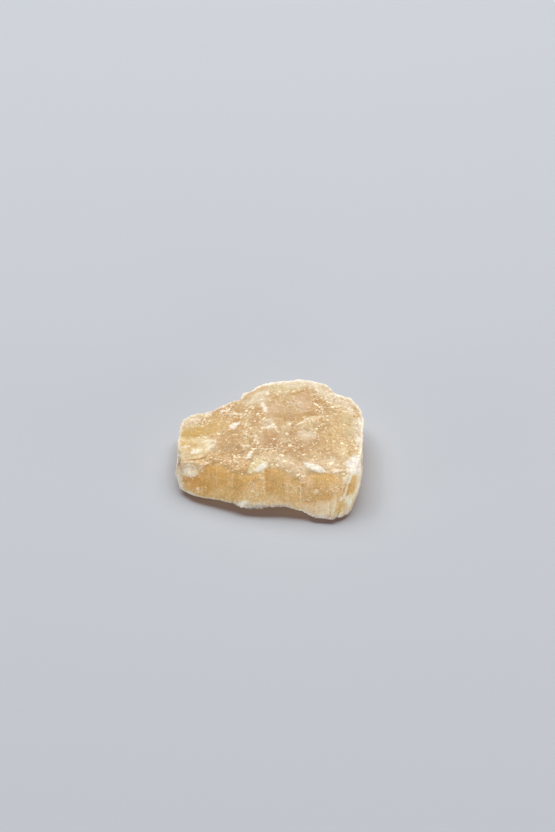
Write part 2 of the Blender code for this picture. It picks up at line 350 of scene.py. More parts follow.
def noise(p, size, seed):
    """Gradient noise, about -1..1, with features of this size."""
    q = p / size + seed * 17.31
    base = np.floor(q).astype(np.int64)
    f = q - base
    w = f * f * f * (f * (f * 6 - 15) + 10)
    total = np.zeros(len(p))
    for dx in (0, 1):
        for dy in (0, 1):
            for dz in (0, 1):
                slope = (
                    hashed(base[:, 0] + dx, base[:, 1] + dy, base[:, 2] + dz, seed) * 2
                    - 1
                )
                share = (
                    (w[:, 0] if dx else 1 - w[:, 0])
                    * (w[:, 1] if dy else 1 - w[:, 1])
                    * (w[:, 2] if dz else 1 - w[:, 2])
                )
                total += share * ((f - (dx, dy, dz)) * slope).sum(1)
    return total * 1.5


def fractal(p, size, seed, octaves=3, gain=0.5):
    total, weight = np.zeros(len(p)), 1.0
    for k in range(octaves):
        total += weight * noise(p, size / 2**k, seed + k)
        weight *= gain
    return total


def flecks(p, size, share, seed, soft=0.25):
    """Ragged flecks that cover about this share of the surface, point by point."""
    n = noise(p, size, seed) + 0.5 * noise(p, size * 0.47, seed + 1)
    steps = np.linspace(0, 1, 201)
    level = np.interp(1 - np.clip(share, 0, 1), steps, np.quantile(n, steps))
    return ramp(n, level, level + soft)


def terraces(t, step):
    """A coordinate turned to flat treads with steep risers, minus the slope."""
    k = np.floor(t / step)
    f = t / step - k
    return step * (k + ramp(f, 0.72, 1.0)) - t


# ---------------------------------------------------------- where things are
def picture(p):
    """Picture coordinates, in pixels, of points in the survey frame."""
    q = p - np.array(EYE)
    z = q @ np.array(LOOK)
    return 277.5 + FOCAL_PX * (q @ np.array(RIGHT)) / z, 416 - FOCAL_PX * (q @ np.array(UP)) / z


def inside(u, v, corners, soft):
    """1 inside a polygon, 0 outside, over an edge this soft."""
    near = np.full(len(u), 1e9)
    odd = np.zeros(len(u), bool)
    for (x0, y0), (x1, y1) in zip(corners, corners[1:] + corners[:1]):
        dx, dy = x1 - x0, y1 - y0
        t = np.clip(((u - x0) * dx + (v - y0) * dy) / (dx * dx + dy * dy), 0, 1)
        near = np.minimum(near, np.hypot(u - x0 - t * dx, v - y0 - t * dy))
        crosses = ((y0 > v) != (y1 > v)) & (u < x0 + dx * (v - y0) / (dy or 1e-9))
        odd ^= crosses
    return ramp(np.where(odd, near, -near), -soft, soft)


def along(u, v, corners, width, soft):
    """1 on a line through these corners, 0 away from it."""
    near = np.full(len(u), 1e9)
    for (x0, y0), (x1, y1) in zip(corners, corners[1:]):
        dx, dy = x1 - x0, y1 - y0
        t = np.clip(((u - x0) * dx + (v - y0) * dy) / (dx * dx + dy * dy), 0, 1)
        near = np.minimum(near, np.hypot(u - x0 - t * dx, v - y0 - t * dy))
    return 1 - ramp(near, width / 2, width / 2 + soft)


def make_camera():
    data = bpy.data.cameras.new("camera")
    data.sensor_width = 36.0
    data.lens = 18.0 / (832 / 2 / FOCAL_PX)
    camera = bpy.data.objects.new("camera", data)
    SCENE.collection.objects.link(camera)
    camera.location = to_row(EYE)
    camera.rotation_mode = "QUATERNION"
    camera.rotation_quaternion = LOOK.to_track_quat("-Z", "Y")
    data.clip_start, data.clip_end = 0.01, 10.0
    SCENE.camera = camera


make_camera()


# ---------------------------------------------------------------- the surface
def edges_of(faces):
    ends = np.concatenate([faces[:, [0, 1]], faces[:, [1, 2]], faces[:, [2, 0]]])
    return np.unique(np.sort(ends, axis=1), axis=0)


def spread(values, ends, rounds):
    """Spread values along the edges of the mesh, so many times."""
    count = np.bincount(ends.ravel(), minlength=len(values)).astype(float)
    shape = values.shape
    values = values.reshape(len(values), -1)
    for _ in range(rounds):
        out = np.empty_like(values)
        for k in range(values.shape[1]):
            c = values[:, k]
            out[:, k] = np.bincount(ends[:, 0], c[ends[:, 1]], minlength=len(c))
            out[:, k] += np.bincount(ends[:, 1], c[ends[:, 0]], minlength=len(c))
        values = 0.35 * values + 0.65 * out / count[:, None]
    return values.reshape(shape)


# where the top rolls over into the front, in the picture
RIDGE = [(203, 458), (222, 458), (246, 466), (268, 459), (300, 464), (344, 468), (346, 483), (318, 486), (292, 482), (268, 474), (246, 478), (228, 478), (204, 472)]


class Surface:
    """The points with what the relief and the colours are worked out from."""

    def __init__(self, points, faces):
        self.p = points
        self.faces = faces
        self.ends = edges_of(faces)
        self.n = vertex_normals(points, faces)
        self.sort_out()
        self.ease_the_front()
        self.ease_the_ridge()
        self.p0 = self.p.copy()
        self.sort_out()

    def sort_out(self):
        """Which face of the lump each point is on, and where the camera sees it."""
        p, n = self.p, self.n
        self.u, self.v = picture(p)
        away = np.array(EYE) - p
        away /= np.linalg.norm(away, axis=1)[:, None]
        self.seen = ramp((n * away).sum(1), 0.02, 0.2)
        self.top = ramp(n[:, 2], 0.62, 0.85)
        self.under = ramp(-n[:, 2], 0.5, 0.8)
        front = ramp(-n[:, 1], 0.4, 0.75) * ramp(p[:, 2], 0.6, 2.0)
        self.front = front * (1 - ramp(p[:, 0], 17.5, 21.0)) * (1 - self.top)
        self.end = (
            ramp(n[:, 0] - 0.6 * n[:, 1], 0.3, 0.7)
            * ramp(-p[:, 1], 5.0, 8.0)
            * ramp(p[:, 0], 16.0, 20.0)
            * (1 - self.top)
        )

    def ease_the_front(self):
        """The cleavage face is one gently curved surface, with no creases."""
        middle = ramp(spread(self.front, self.ends, 12), 0.75, 0.98)
        eased = spread(self.p, self.ends, 90)
        self.p = self.p + middle[:, None] * (eased - self.p)
        self.n = vertex_normals(self.p, self.faces)

    def ease_the_ridge(self):
        """Where the top rolls over into the front, with no arris."""
        u, v = picture(self.p)
        band = inside(u, v, RIDGE, 5.0) * self.seen
        self.p = self.p + band[:, None] * (spread(self.p, self.ends, 220) - self.p)
        self.n = vertex_normals(self.p, self.faces)

    def push(self, d):
        self.p = self.p + self.n * d[:, None]
        self.n = vertex_normals(self.p, self.faces)

    def ragged(self, by, size, seed):
        """The picture coordinates pushed about, so that edges come out ragged."""
        return np.stack([
            self.u + by * fractal(self.p0, size, seed, 2),
            self.v + by * fractal(self.p0, size, seed + 9, 2),
        ])


def front_panels(s):
    """The cleavage leaves of the front, and the fine lines down them."""
    d = front_leaves(s.p, s.n) * 0.35
    x = s.p[:, 0] + 0.25 * noise(s.p, 3.0, 91)
    lines = noise(np.stack([x / 0.7, s.p[:, 1] / 9, s.p[:, 2] / 9], 1), 1.0, 92)
    d += s.front * 0.02 * lines
    d += s.front * 0.12 * noise(s.p * (1, 0.4, 0.4), 3.5, 93)
    return d


def steps(s, direction, step, warp, seed):
    t = s.p @ np.array(direction)
    t = t + warp * fractal(s.p, 4.0, seed, 3)
    return terraces(t, step)


def relief(s):
    p = s.p
    smooth_face = np.maximum(s.front, s.end)
    rough = 1 - 0.9 * smooth_face
    d = 0.42 * fractal(p, 9.0, 41, 2) * (1 - 0.7 * smooth_face)
    d += 0.22 * grain_relief(p + 0.5 * noise(p, 2.0, 5)[:, None], 5.5, SEED) * rough
    d += 0.10 * grain_relief(p + 0.3 * noise(p, 1.2, 6)[:, None], 2.4, SEED + 5) * rough
    gate = ramp(noise(p, 6.0, 61), -0.1, 0.35)
    d += 0.55 * rough * gate * steps(s, (0.35, -0.25, 0.9), 0.34, 0.5, 62)
    gate = ramp(noise(p, 5.0, 65), 0.0, 0.4)
    d += 0.40 * rough * gate * steps(s, (-0.6, 0.5, 0.62), 0.42, 0.5, 66)
    d += 0.05 * grain_relief(p + 0.2 * noise(p, 0.8, 7)[:, None], 1.3, SEED + 9) * rough
    d += 0.045 * fractal(p, 1.7, 71, 3, 0.5) * rough
    d += front_panels(s)
    return d


# ---------------------------------------------------------------------- tones
def srgb(*rgb):
    c = np.array(rgb) / 255.0
    return np.where(c <= 0.04045, c / 12.92, ((c + 0.055) / 1.055) ** 2.4)


UMBER = srgb(166, 122, 64)
AMBER = srgb(179, 140, 89)
HONEY = srgb(190, 157, 109)
PEACH = srgb(190, 163, 124)
ROSE = srgb(200, 172, 140)
OCHRE = srgb(196, 164, 99)
GOLD = srgb(201, 169, 111)
CREAM = srgb(205, 188, 153)
IVORY = srgb(216, 204, 182)
SNOW = srgb(238, 231, 218)
PEARL = srgb(204, 188, 164)
BUTTER = srgb(224, 208, 166)
# the cleavage faces are clearer; their tones are painted lighter than the top's, a painted glow for the light that
# comes through the stone from above
GLOW = srgb(229, 194, 135)
EMBER = srgb(217, 176, 111)
HAZE = srgb(242, 210, 160)
MILK = srgb(255, 221, 184)
FOAM = srgb(255, 238, 212)
BONE = srgb(255, 240, 222)
OLIVE = srgb(226, 194, 128)
BLUSH = srgb(212, 188, 154)
CRUMB = srgb(238, 225, 200)
PETAL = srgb(252, 224, 202)
RIME = srgb(222, 212, 198)
CHALK = srgb(232, 230, 228)
TOFFEE = srgb(221, 169, 91)
APRICOT = srgb(218, 181, 131)

# ------------------------------------------------- what is where on the stone
# Each is the outline of a patch in the picture, how soft its edge is there in
# pixels, how far its middle stands proud (mm), its tone and how strong that is.
PATCHES = {
    # broad washes first
    # the pale washes along the back edge are partly painted glow, light through the thin edge
    "back_left_pale": ([(238, 402), (249, 396), (262, 389), (268, 384), (268, 399), (259, 404), (247, 406), (240, 405)], 4.0, 0.0, IVORY, 0.7),
    "back_pale": ([(268, 384), (283, 380), (303, 379), (304, 388), (296, 391), (288, 394), (276, 394), (268, 390)], 3.5, 0.0, CREAM, 0.9),
    "back_crown": ([(284, 380), (300, 378.5), (318, 381), (322, 388), (312, 387), (303, 386), (290, 388), (284, 386)], 2.5, 0.0, IVORY, 0.6),
    "back_bright": ([(311, 383), (322, 385), (331, 391), (345, 398), (354, 403), (352, 412), (340, 409), (330, 402), (320, 396), (312, 392)], 3.5, 0.0, IVORY, 0.65),
    "left_amber": ([(207, 417), (216, 416), (229, 422), (229, 430), (214, 433), (198, 437), (190, 434), (198, 426)], 4.0, 0.0, GOLD, 0.5),
    "centre_warm": ([(212, 404), (232, 400), (236, 412), (220, 418), (210, 416)], 4.0, 0.0, AMBER, 0.85),
    "patch_warm": ([(252, 408), (262, 408), (265, 420), (255, 422)], 3.0, 0.0, AMBER, 0.55),
    "middle_warm": ([(222, 434), (238, 433), (246, 440), (246, 452), (232, 456), (218, 452), (214, 446)], 5.0, 0.0, AMBER, 0.45),
    "back_warm": ([(232, 402), (246, 402), (250, 410), (238, 413), (230, 410)], 3.0, 0.0, AMBER, 0.6),
    "behind_hollow": ([(302, 410), (316, 404), (326, 409), (326, 417), (318, 416), (306, 414)], 4.0, 0.0, AMBER, 0.6),
    "behind_crest": ([(290, 404), (302, 414), (300, 422), (286, 424), (280, 416)], 4.0, 0.0, AMBER, 0.6),
    "right_yellow": ([(338, 405), (352, 409), (356, 425), (357, 442), (350, 452), (338, 452), (334, 440), (336, 422)], 5.0, 0.0, GOLD, 0.35),
    "right_glow": ([(320, 424), (334, 424), (338, 436), (334, 450), (324, 446), (318, 434)], 4.5, 0.0, OCHRE, 0.65),
    "hollow_amber": ([(262, 441), (278, 438), (296, 442), (308, 450), (300, 457), (284, 457), (270, 452)], 5.0, -0.05, AMBER, 0.8),
    "bench": ([(256, 458), (268, 454), (280, 455), (290, 459), (310, 459), (336, 460), (344, 466), (340, 474), (318, 472), (300, 475), (283, 469), (268, 466), (256, 465)], 4.0, 0.0, BLUSH, 0.8),
    "right_light": ([(338, 414), (350, 414), (356, 424), (355, 440), (347, 442), (343, 430)], 4.0, 0.0, CREAM, 0.6),
    # painted glow along the thin right edge
    "right_rim": ([(352, 419), (360, 417.5), (363, 425), (366, 435), (364, 448), (357, 446), (355, 431)], 3.0, 0.0, RIME, 0.6),
    "corner": ([(347, 463), (351, 458), (357, 456), (363, 458), (362, 470), (359, 475), (352, 475), (348, 474)], 3.0, 0.0, CHALK, 0.95),
    "left_cream": ([(182, 422), (187, 416.5), (198, 416), (199, 424), (190, 427), (181, 429)], 3.0, 0.0, IVORY, 0.6),
    "left_shade": ([(174, 449), (180.8, 451), (182, 461), (182.4, 470), (174, 471)], 1.5, 0.0, UMBER, 1.5),
    "ledge_pale": ([(196, 459), (206, 455), (222, 452), (240, 455), (250, 462), (246, 470), (234, 470), (222, 463), (206, 461)], 3.0, 0.0, APRICOT, 0.5),
    "right_pale": ([(337, 444), (346, 442), (350, 448), (346, 456), (338, 454)], 3.0, 0.0, BUTTER, 0.5),
    "glow_calm": ([(319, 425), (329, 424), (331, 436), (322, 439)], 2.5, 0.0, HONEY, 0.8),
    "ochre_band": ([(179, 431), (184, 428), (197, 426), (204, 429), (216, 428), (216, 432), (200, 436.5), (181, 438)], 5.0, -0.05, OCHRE, 0.7),
    # the left plate and what lies below it
    "left_plate": ([(181, 459), (200, 458.5), (207, 453), (215, 445), (214, 440), (204, 436.5), (196, 438), (181, 438)], 2.2, 0.06, BUTTER, 0.7),
    "plate_heart": ([(204.5, 440), (210, 439.5), (216, 441.5), (214.5, 447), (209, 450.5), (205.5, 449), (206.5, 444)], 1.5, 0.03, SNOW, 0.3),
    "plate_heart_2": ([(190.5, 450.5), (195, 448.5), (199.5, 449.5), (201, 453.5), (196, 455.5), (191, 454.5)], 1.5, 0.02, SNOW, 0.45),
    "plate_bar": ([(196, 439), (204, 437), (206, 440), (199, 443), (194, 444)], 1.8, 0.0, CREAM, 0.6),
    "plate_gold": ([(181, 442), (188, 440), (194, 443), (190, 450), (182, 452)], 2.5, 0.0, GOLD, 0.85),
    "lower_left_white": ([(175, 473), (180.5, 475), (183.5, 487), (190, 492.5), (184, 493.5), (176, 490)], 1.2, 0.0, BONE, 0.9),
    "plate_corner": ([(181, 458), (182, 450), (190, 451), (191, 458)], 2.0, 0.0, PEACH, 0.5),
    "left_bevel": ([(181.5, 461), (201, 460.5), (209, 463), (200, 467), (196, 470), (183, 466)], 2.4, -0.03, APRICOT, 0.7),
    "left_rim": ([(174, 452), (177, 437), (183, 437), (182.5, 446), (181.5, 459)], 1.5, 0.0, SNOW, 0.0),
    "left_sliver": ([(174, 466), (181.0, 466), (181.5, 476), (183, 490), (174, 489)], 1.2, 0.0, MILK, 0.35),
    # facets of the back
    "pink_facet": ([(267, 398), (278, 398), (286, 404), (296, 410), (300, 415), (290, 418), (276, 421), (268, 416), (266.5, 405)], 4.0, -0.04, PEACH, 0.7),
    "pink_core": ([(267.5, 403), (277, 402), (278, 411), (272, 414), (268, 413)], 3.0, 0.0, ROSE, 0.95),
    "wedge": ([(291.5, 400), (296, 395.5), (303, 392.5), (310, 391), (311, 395), (311, 407), (307, 409.5), (303, 411.6), (297, 407.5)], 0.8, -0.22, ROSE, 0.8),
    # painted shade: the amber at the wedge's right and left
    "wedge_right": ([(311.5, 390), (316, 391), (317, 400), (313, 410), (311, 408)], 1.2, 0.0, AMBER, 0.6),
    "wedge_left": ([(285, 393), (293, 390), (297, 393), (291.5, 399), (297, 407), (293, 408), (286, 401)], 2.0, 0.0, AMBER, 0.4),
    "wedge_shade": ([(293, 396), (298, 390), (304, 386.5), (315, 387), (315, 391), (311, 391), (303, 392.5), (296, 395.5)], 2.0, -0.1, AMBER, 0.45),
    # facets of the middle
    "grey_patch": ([(261, 424), (262, 419.5), (269, 418), (274, 421), (276, 426), (270, 429), (261, 428.5)], 1.8, 0.03, PEARL, 0.55),
    "brown_facet": ([(263, 431), (268, 429), (276, 430), (279, 436), (274, 444), (271, 448.5), (263, 447.5), (262, 438)], 4.5, -0.1, AMBER, 0.6),
    "brown_deep": ([(268, 437), (276, 436), (277, 442), (272, 447), (266, 446)], 4.0, -0.05, UMBER, 0.6),
    "soft_white": ([(297, 431), (303, 428), (313, 433), (317, 438), (308, 439.5), (299, 436)], 4.0, 0.0, IVORY, 0.6),
    "ridge_pale": ([(324, 416), (334, 414), (338, 420), (332, 424), (325, 423)], 2.5, 0.0, BLUSH, 0.5),
    "hollow_pale": ([(253, 430), (262, 428), (264, 438), (257, 442), (252, 438)], 2.5, 0.0, BLUSH, 0.4),
    # the front edge of the top; the white facet is cream, and its bright tip is a painted highlight where the flat
    # facet faces the light
    "white_facet": ([(246.5, 473.0), (248, 466), (251, 461), (258, 457), (264, 459.5), (267.3, 463), (266.8, 466.5), (264, 471), (256, 472.3)], 2.4, 0.05, BUTTER, 0.9),
    "white_facet_highlight": ([(255.5, 470.0), (259, 465.8), (263, 462.8), (267, 462.8), (266.8, 466.8), (264.5, 470.8), (258, 472)], 1.6, 0.05, SNOW, 1.0),
    "golden_gap": ([(243, 460), (248, 461), (249, 467), (245, 469), (242, 465)], 1.5, -0.05, APRICOT, 0.6),
    # the front, from left to right
    "panel_a_ember": ([(183, 476), (198, 476), (203, 468), (212, 465), (222, 467), (228, 474), (226, 486), (214, 490), (196, 488), (185, 484)], 3.0, 0.0, EMBER, 0.95),
    "panel_a_left": ([(182, 476), (196, 476), (203, 482), (204, 493), (192, 491), (184, 486)], 3.0, 0.0, TOFFEE, 0.9),
    "panel_a_cloud": ([(219, 468), (226, 472), (226, 488), (220, 490)], 2.5, 0.0, HAZE, 0.0),
    # painted shade: the amber at the left of leaves B and C, where each leaf steps back
    "panel_b_ember": ([(233.0, 474), (240, 474), (250, 476), (256, 474), (258, 480), (248, 484), (242, 492), (236, 498), (233.0, 497)], 1.8, 0.0, EMBER, 0.8),
    "panel_b_haze": ([(246, 486), (262, 480), (263, 500), (246, 503), (238, 501), (240, 494)], 4.0, 0.0, HAZE, 0.5),
    "panel_c_ember": ([(265.3, 468), (272, 467), (276, 474), (273, 490), (268, 494), (265.3, 490)], 1.8, 0.0, EMBER, 0.6),
    "panel_c_haze": ([(266, 496), (284, 498), (300, 499), (304, 509), (286, 508), (266, 507)], 3.5, 0.0, MILK, 0.45),
    "panel_c_right": ([(284, 478), (300, 484), (306, 494), (296, 500), (284, 494)], 4.0, 0.0, HAZE, 0.4),
    "panel_d_amber": ([(310, 474), (330, 474), (337, 477), (334, 486), (320, 486), (311, 482)], 2.5, 0.0, GLOW, 1.0),
    "panel_d_warm": ([(317, 491), (328, 492), (329, 499), (322, 501), (314, 497)], 2.5, 0.0, EMBER, 0.5),
    "panel_d_right": ([(330, 478), (344, 478), (344, 494), (336, 496), (330, 488)], 3.0, 0.0, HAZE, 0.65),
    "cloud": ([(301, 474), (305, 474), (314, 482), (315, 487), (309, 487), (302, 480)], 2.2, 0.0, MILK, 0.6),
    "foot_left": ([(178, 484), (184, 487), (196, 491.5), (214, 497), (230, 500), (230, 503), (212, 500.5), (196, 497), (182, 493)], 1.5, 0.0, GLOW, 0.6),
    "foot_calm": ([(194, 487), (214, 493), (236, 497), (236, 509), (194, 504)], 2.5, 0.0, EMBER, 0.35),
    # partly painted glow: the thin lower corner of the front, painted pale where light comes through it, partly
    # bruising
    "foot_pale": ([(305, 504), (314, 503), (325, 501), (335, 498), (334, 512), (331, 521), (318, 521), (307, 517), (300, 512)], 2.5, 0.0, MILK, 0.95),
    "foot_mid": ([(247, 501), (262, 500.5), (290, 503), (290, 509), (248, 509)], 2.5, 0.0, MILK, 0.7),
    "foot_white": ([(234, 507.5), (236, 503.5), (241, 500.2), (248, 500.0), (254, 502), (262, 503), (268, 505), (262, 509), (250, 509.5), (240, 509)], 2.6, 0.06, FOAM, 0.45),
    "foot_lens": ([(239.0, 503.5), (242, 501), (247.3, 500.3), (247.5, 502.5), (244, 505.3), (240.5, 506)], 0.9, 0.12, BONE, 1.25),
    # the slab end
    "amber_window": ([(351.4, 476.5), (356.6, 476.5), (356.8, 484), (355.6, 489), (354.0, 494.2), (346.4, 495), (347.4, 490), (349.2, 484)], 1.6, -0.3, OLIVE, 0.95),
    "window_deep": ([(349.3, 483), (351.8, 480), (351.3, 489), (349.8, 494.5), (346.8, 494.5), (347.6, 489)], 1.5, 0.0, EMBER, 0.95),
    # painted glow, partly bruising: the pale rim of the window and the pale slab foot, where light comes through the
    # thin end
    "window_rim": ([(357.5, 474), (361.5, 472), (361, 482), (358.5, 490), (355.5, 494), (356.8, 484)], 1.5, 0.0, BONE, 0.45),
    "slab_foot": ([(345, 497), (355.5, 495.5), (354, 503), (350.5, 512), (345, 519), (337.5, 519.5), (339.5, 510), (343, 503)], 1.5, 0.0, FOAM, 0.95),
    "slab_petal": ([(344.5, 504), (348.5, 503), (349.5, 507), (347, 511.5), (343.5, 512.5), (343.3, 509)], 2.0, 0.0, PETAL, 1.0),
    "slab_olive": ([(342.5, 500.5), (346.5, 498.5), (346.5, 504), (344.5, 509.5), (340.0, 512), (341, 505)], 1.8, 0.0, OLIVE, 0.95),
    "corner_core": ([(348, 461), (353, 459), (359, 457), (361, 465), (359, 473.5), (354, 472), (351, 466)], 2.2, 0.0, CHALK, 1.3),
    "end_white": ([(342.5, 478), (347, 474), (352.5, 472.5), (351, 478), (348.5, 484), (346, 488), (343.5, 486)], 1.5, 0.05, FOAM, 0.8),
    "chip": ([(183.0, 470), (184.3, 466.8), (188, 465.4), (192.3, 466.2), (194.5, 469), (196.5, 473), (193.5, 475.2), (189.5, 475.6), (185, 474.4)], 1.0, 0.0, FOAM, 1.5),
    # white flakes; the white flake and the front lens are partly painted highlights, flat facets painted white where
    # they face the light
    "white_flake_highlight": ([(229.0, 425.5), (231, 423.5), (236, 422.5), (240.2, 420.2), (238.6, 423.5), (236, 427.5), (233, 429.4), (230.3, 428.6)], 0.9, 0.12, SNOW, 0.7),
    "back_spot": ([(265.5, 392), (267.5, 391.2), (269.3, 392.3), (268.8, 394.6), (266.3, 395)], 0.7, 0.15, SNOW, 0.95),
    "back_patch": ([(260.5, 402.5), (264.5, 402), (266.6, 405), (266.8, 413), (263.5, 411), (261.5, 407)], 1.5, 0.05, SNOW, 0.85),
    # painted highlight on the crest
    "crest_lens": ([(309.5, 418.3), (313, 416.3), (320, 415.6), (321.8, 417.5), (319, 420.2), (313, 420.6), (309.8, 420)], 0.9, 0.12, BLUSH, 0.65),
    "long_flake": ([(246.5, 457.5), (248.5, 452.5), (251, 450.8), (253, 451.4), (252, 455), (249, 458.3)], 0.9, 0.16, SNOW, 0.8),
    "long_flake_tail": ([(240, 462.5), (242, 459), (247.5, 456.5), (248, 459), (244, 461.5)], 1.2, 0.06, IVORY, 0.15),
    "front_lens": ([(303, 462.4), (310, 463.4), (318, 465.4), (325.6, 469.8), (326, 472.8), (320, 472.8), (312, 470.4), (306, 467.2)], 0.6, 0.24, SNOW, 1.15),
    "bench_blob": ([(331.5, 470), (335, 468.2), (339.5, 469.5), (338, 472.3), (333, 472.8)], 1.0, 0.08, BONE, 1.4),
    "bench_lens": ([(329, 456.5), (334, 455), (336, 458.5), (334, 461), (328, 461.5), (330, 459)], 1.0, 0.06, IVORY, 0.5),
    "end_blob": ([(338.6, 498.6), (339.6, 496.6), (341.6, 496.0), (343.2, 497.4), (342.8, 500), (340.8, 501.4), (339.0, 500.6)], 0.8, 0.2, BONE, 1.4),
    "white_speck": ([(285, 433), (287.5, 432.2), (288.5, 434), (286, 434.8)], 0.7, 0.08, SNOW, 0.75),
    "right_flake": ([(357.5, 419), (361, 421), (361.5, 424), (359.5, 424.2)], 0.9, 0.05, SNOW, 0.8),
    "right_low_flake": ([(357, 437), (362, 436), (362, 447), (358, 444)], 1.5, 0.05, SNOW, 0.3),
    "end_crumb": ([(345, 408), (350, 409), (355, 413), (351, 416), (346, 413)], 1.5, 0.05, SNOW, 0.25),
}

# Lines in the picture: corners, width and softness in pixels, height in mm,
# tone and strength.
LINES = {
    "plate_crack": ([(181, 459.8), (190, 460.0), (199, 459.5), (205, 456.5)], 0.4, 0.9, -0.26, UMBER, 0.6),
    "speck_line": ([(254, 450.3), (259.5, 448.9), (265, 450.2), (271.7, 449.2), (277, 449.8)], 0.4, 0.9, -0.20, UMBER, 0.4),
    "speck_line_top": ([(255, 449.3), (260, 447.9), (266, 449.2), (272, 448.0), (280, 448.9)], 0.4, 0.7, 0.08, IVORY, 0.8),
    # painted highlights along the ridges that face the light
    "ridge_highlight": ([(261, 427.5), (266, 427.5), (271, 425.5), (275, 427), (278, 432)], 1.0, 1.1, 0.12, SNOW, 0.6),
    "white_arc": ([(255.4, 435.3), (257.5, 438.5), (258.2, 443.7)], 0.7, 0.9, 0.10, SNOW, 0.8),
    "arc_tail": ([(249.8, 437.2), (255.4, 436.2)], 0.5, 0.8, 0.06, IVORY, 0.8),
    "crest_ridge": ([(296, 425.5), (302, 422.5), (308, 418.7), (311, 418)], 0.8, 1.0, 0.12, IVORY, 0.75),
    "wedge_lip": ([(290.8, 400.5), (296.5, 408), (303, 412), (307, 410.3)], 0.4, 1.0, 0.05, IVORY, 0.7),
    "line_a": ([(351.8, 472.8), (350.6, 477), (348.6, 482.4), (346.6, 488.6), (344.9, 493.4), (343.8, 497.5)], 1.0, 1.0, 0.14, FOAM, 1.3),
    "slab_seam": ([(341.5, 508), (339, 512), (337, 516.5), (336.4, 520)], 0.3, 0.9, -0.15, OLIVE, 0.4),
    "line_b": ([(335.2, 495.4), (335.4, 501), (334.6, 506.6), (332.9, 511), (330.6, 514.4)], 0.6, 0.8, 0.08, FOAM, 0.95),
    # painted highlight along the lit ledge under the window
    "window_ledge": ([(348.5, 495.8), (355.4, 494.2)], 0.6, 0.8, 0.10, FOAM, 1.0),
    # painted glow along the thin rim of the slab end
    "slab_rim": ([(360.6, 473.6), (359.9, 481.3), (357.8, 488.4), (356.0, 494), (354.2, 500), (351.4, 507), (348.6, 512.6), (344.6, 516.4), (340, 518.4)], 0.9, 1.0, 0.0, BONE, 0.65),
    "chip_rim": ([(183.2, 473.0), (186.5, 475.2), (190.5, 476.2), (194.5, 475.6), (196.8, 473.2), (195.8, 470.4), (193.6, 467.4)], 1.3, 0.8, 0.12, BONE, 1.7),
    "chip_top_rim": ([(183.4, 471), (184.3, 467), (188, 465.3), (192.5, 465.7)], 0.7, 0.8, 0.05, BONE, 1.5),
    "bevel_crumbs": ([(196.8, 471.5), (198.6, 468.2), (202, 466), (206, 463.6), (210, 461.5)], 0.8, 0.9, 0.08, FOAM, 0.8),
    "back_crumb_line": ([(221, 411.8), (226, 410.8), (229.5, 408.7)], 0.7, 0.9, 0.10, SNOW, 0.85),
    "back_crumb_line_2": ([(228.8, 414.3), (235, 412.9), (241.4, 414)], 0.6, 0.8, 0.10, SNOW, 0.8),
    "left_crumb_line": ([(190.5, 420), (196, 419.6), (201, 421.2)], 0.9, 0.8, 0.08, IVORY, 0.8),
    "left_crumb_line_2": ([(205, 413.8), (211, 412.6)], 0.6, 0.7, 0.08, SNOW, 0.8),
    "plate_streak_1": ([(181.8, 447.6), (186, 446.8), (190, 446)], 0.8, 0.8, 0.06, SNOW, 0.6),
    "plate_streak_2": ([(191.5, 452.2), (196, 451), (202, 450)], 1.2, 0.9, 0.05, SNOW, 0.8),
    "plate_streak_3": ([(204, 441.4), (210, 440.6), (216, 442.6)], 0.7, 0.8, 0.05, SNOW, 0.55),
    "plate_streak_4": ([(206.5, 450.5), (211, 446.5)], 1.0, 0.9, 0.05, SNOW, 0.55),
    "plate_streak_5": ([(196, 437.6), (202, 435.8), (207, 437.5)], 0.6, 0.8, 0.04, IVORY, 0.6),
    # painted highlights along the proud edges of the leaf steps
    "panel_b_line": ([(232.3, 474), (232.2, 486), (232.6, 492)], 0.25, 0.8, 0.03, HAZE, 0.7),
    "panel_c_line": ([(264.2, 476), (264.0, 487), (264.6, 497)], 0.25, 0.8, 0.03, HAZE, 0.7),
    "panel_c_streak": ([(268.2, 497), (268.6, 503.5)], 0.3, 0.6, 0.03, MILK, 0.8),
    "panel_c_streak_2": ([(270.0, 498), (270.2, 502.5)], 0.2, 0.6, 0.02, MILK, 0.6),
    "bench_streak": ([(325, 460.5), (331, 459.8), (336, 460)], 0.5, 0.8, 0.05, IVORY, 0.5),
    "right_streak": ([(352, 441), (356.5, 446), (357, 450)], 0.6, 0.8, 0.06, SNOW, 0.5),
}

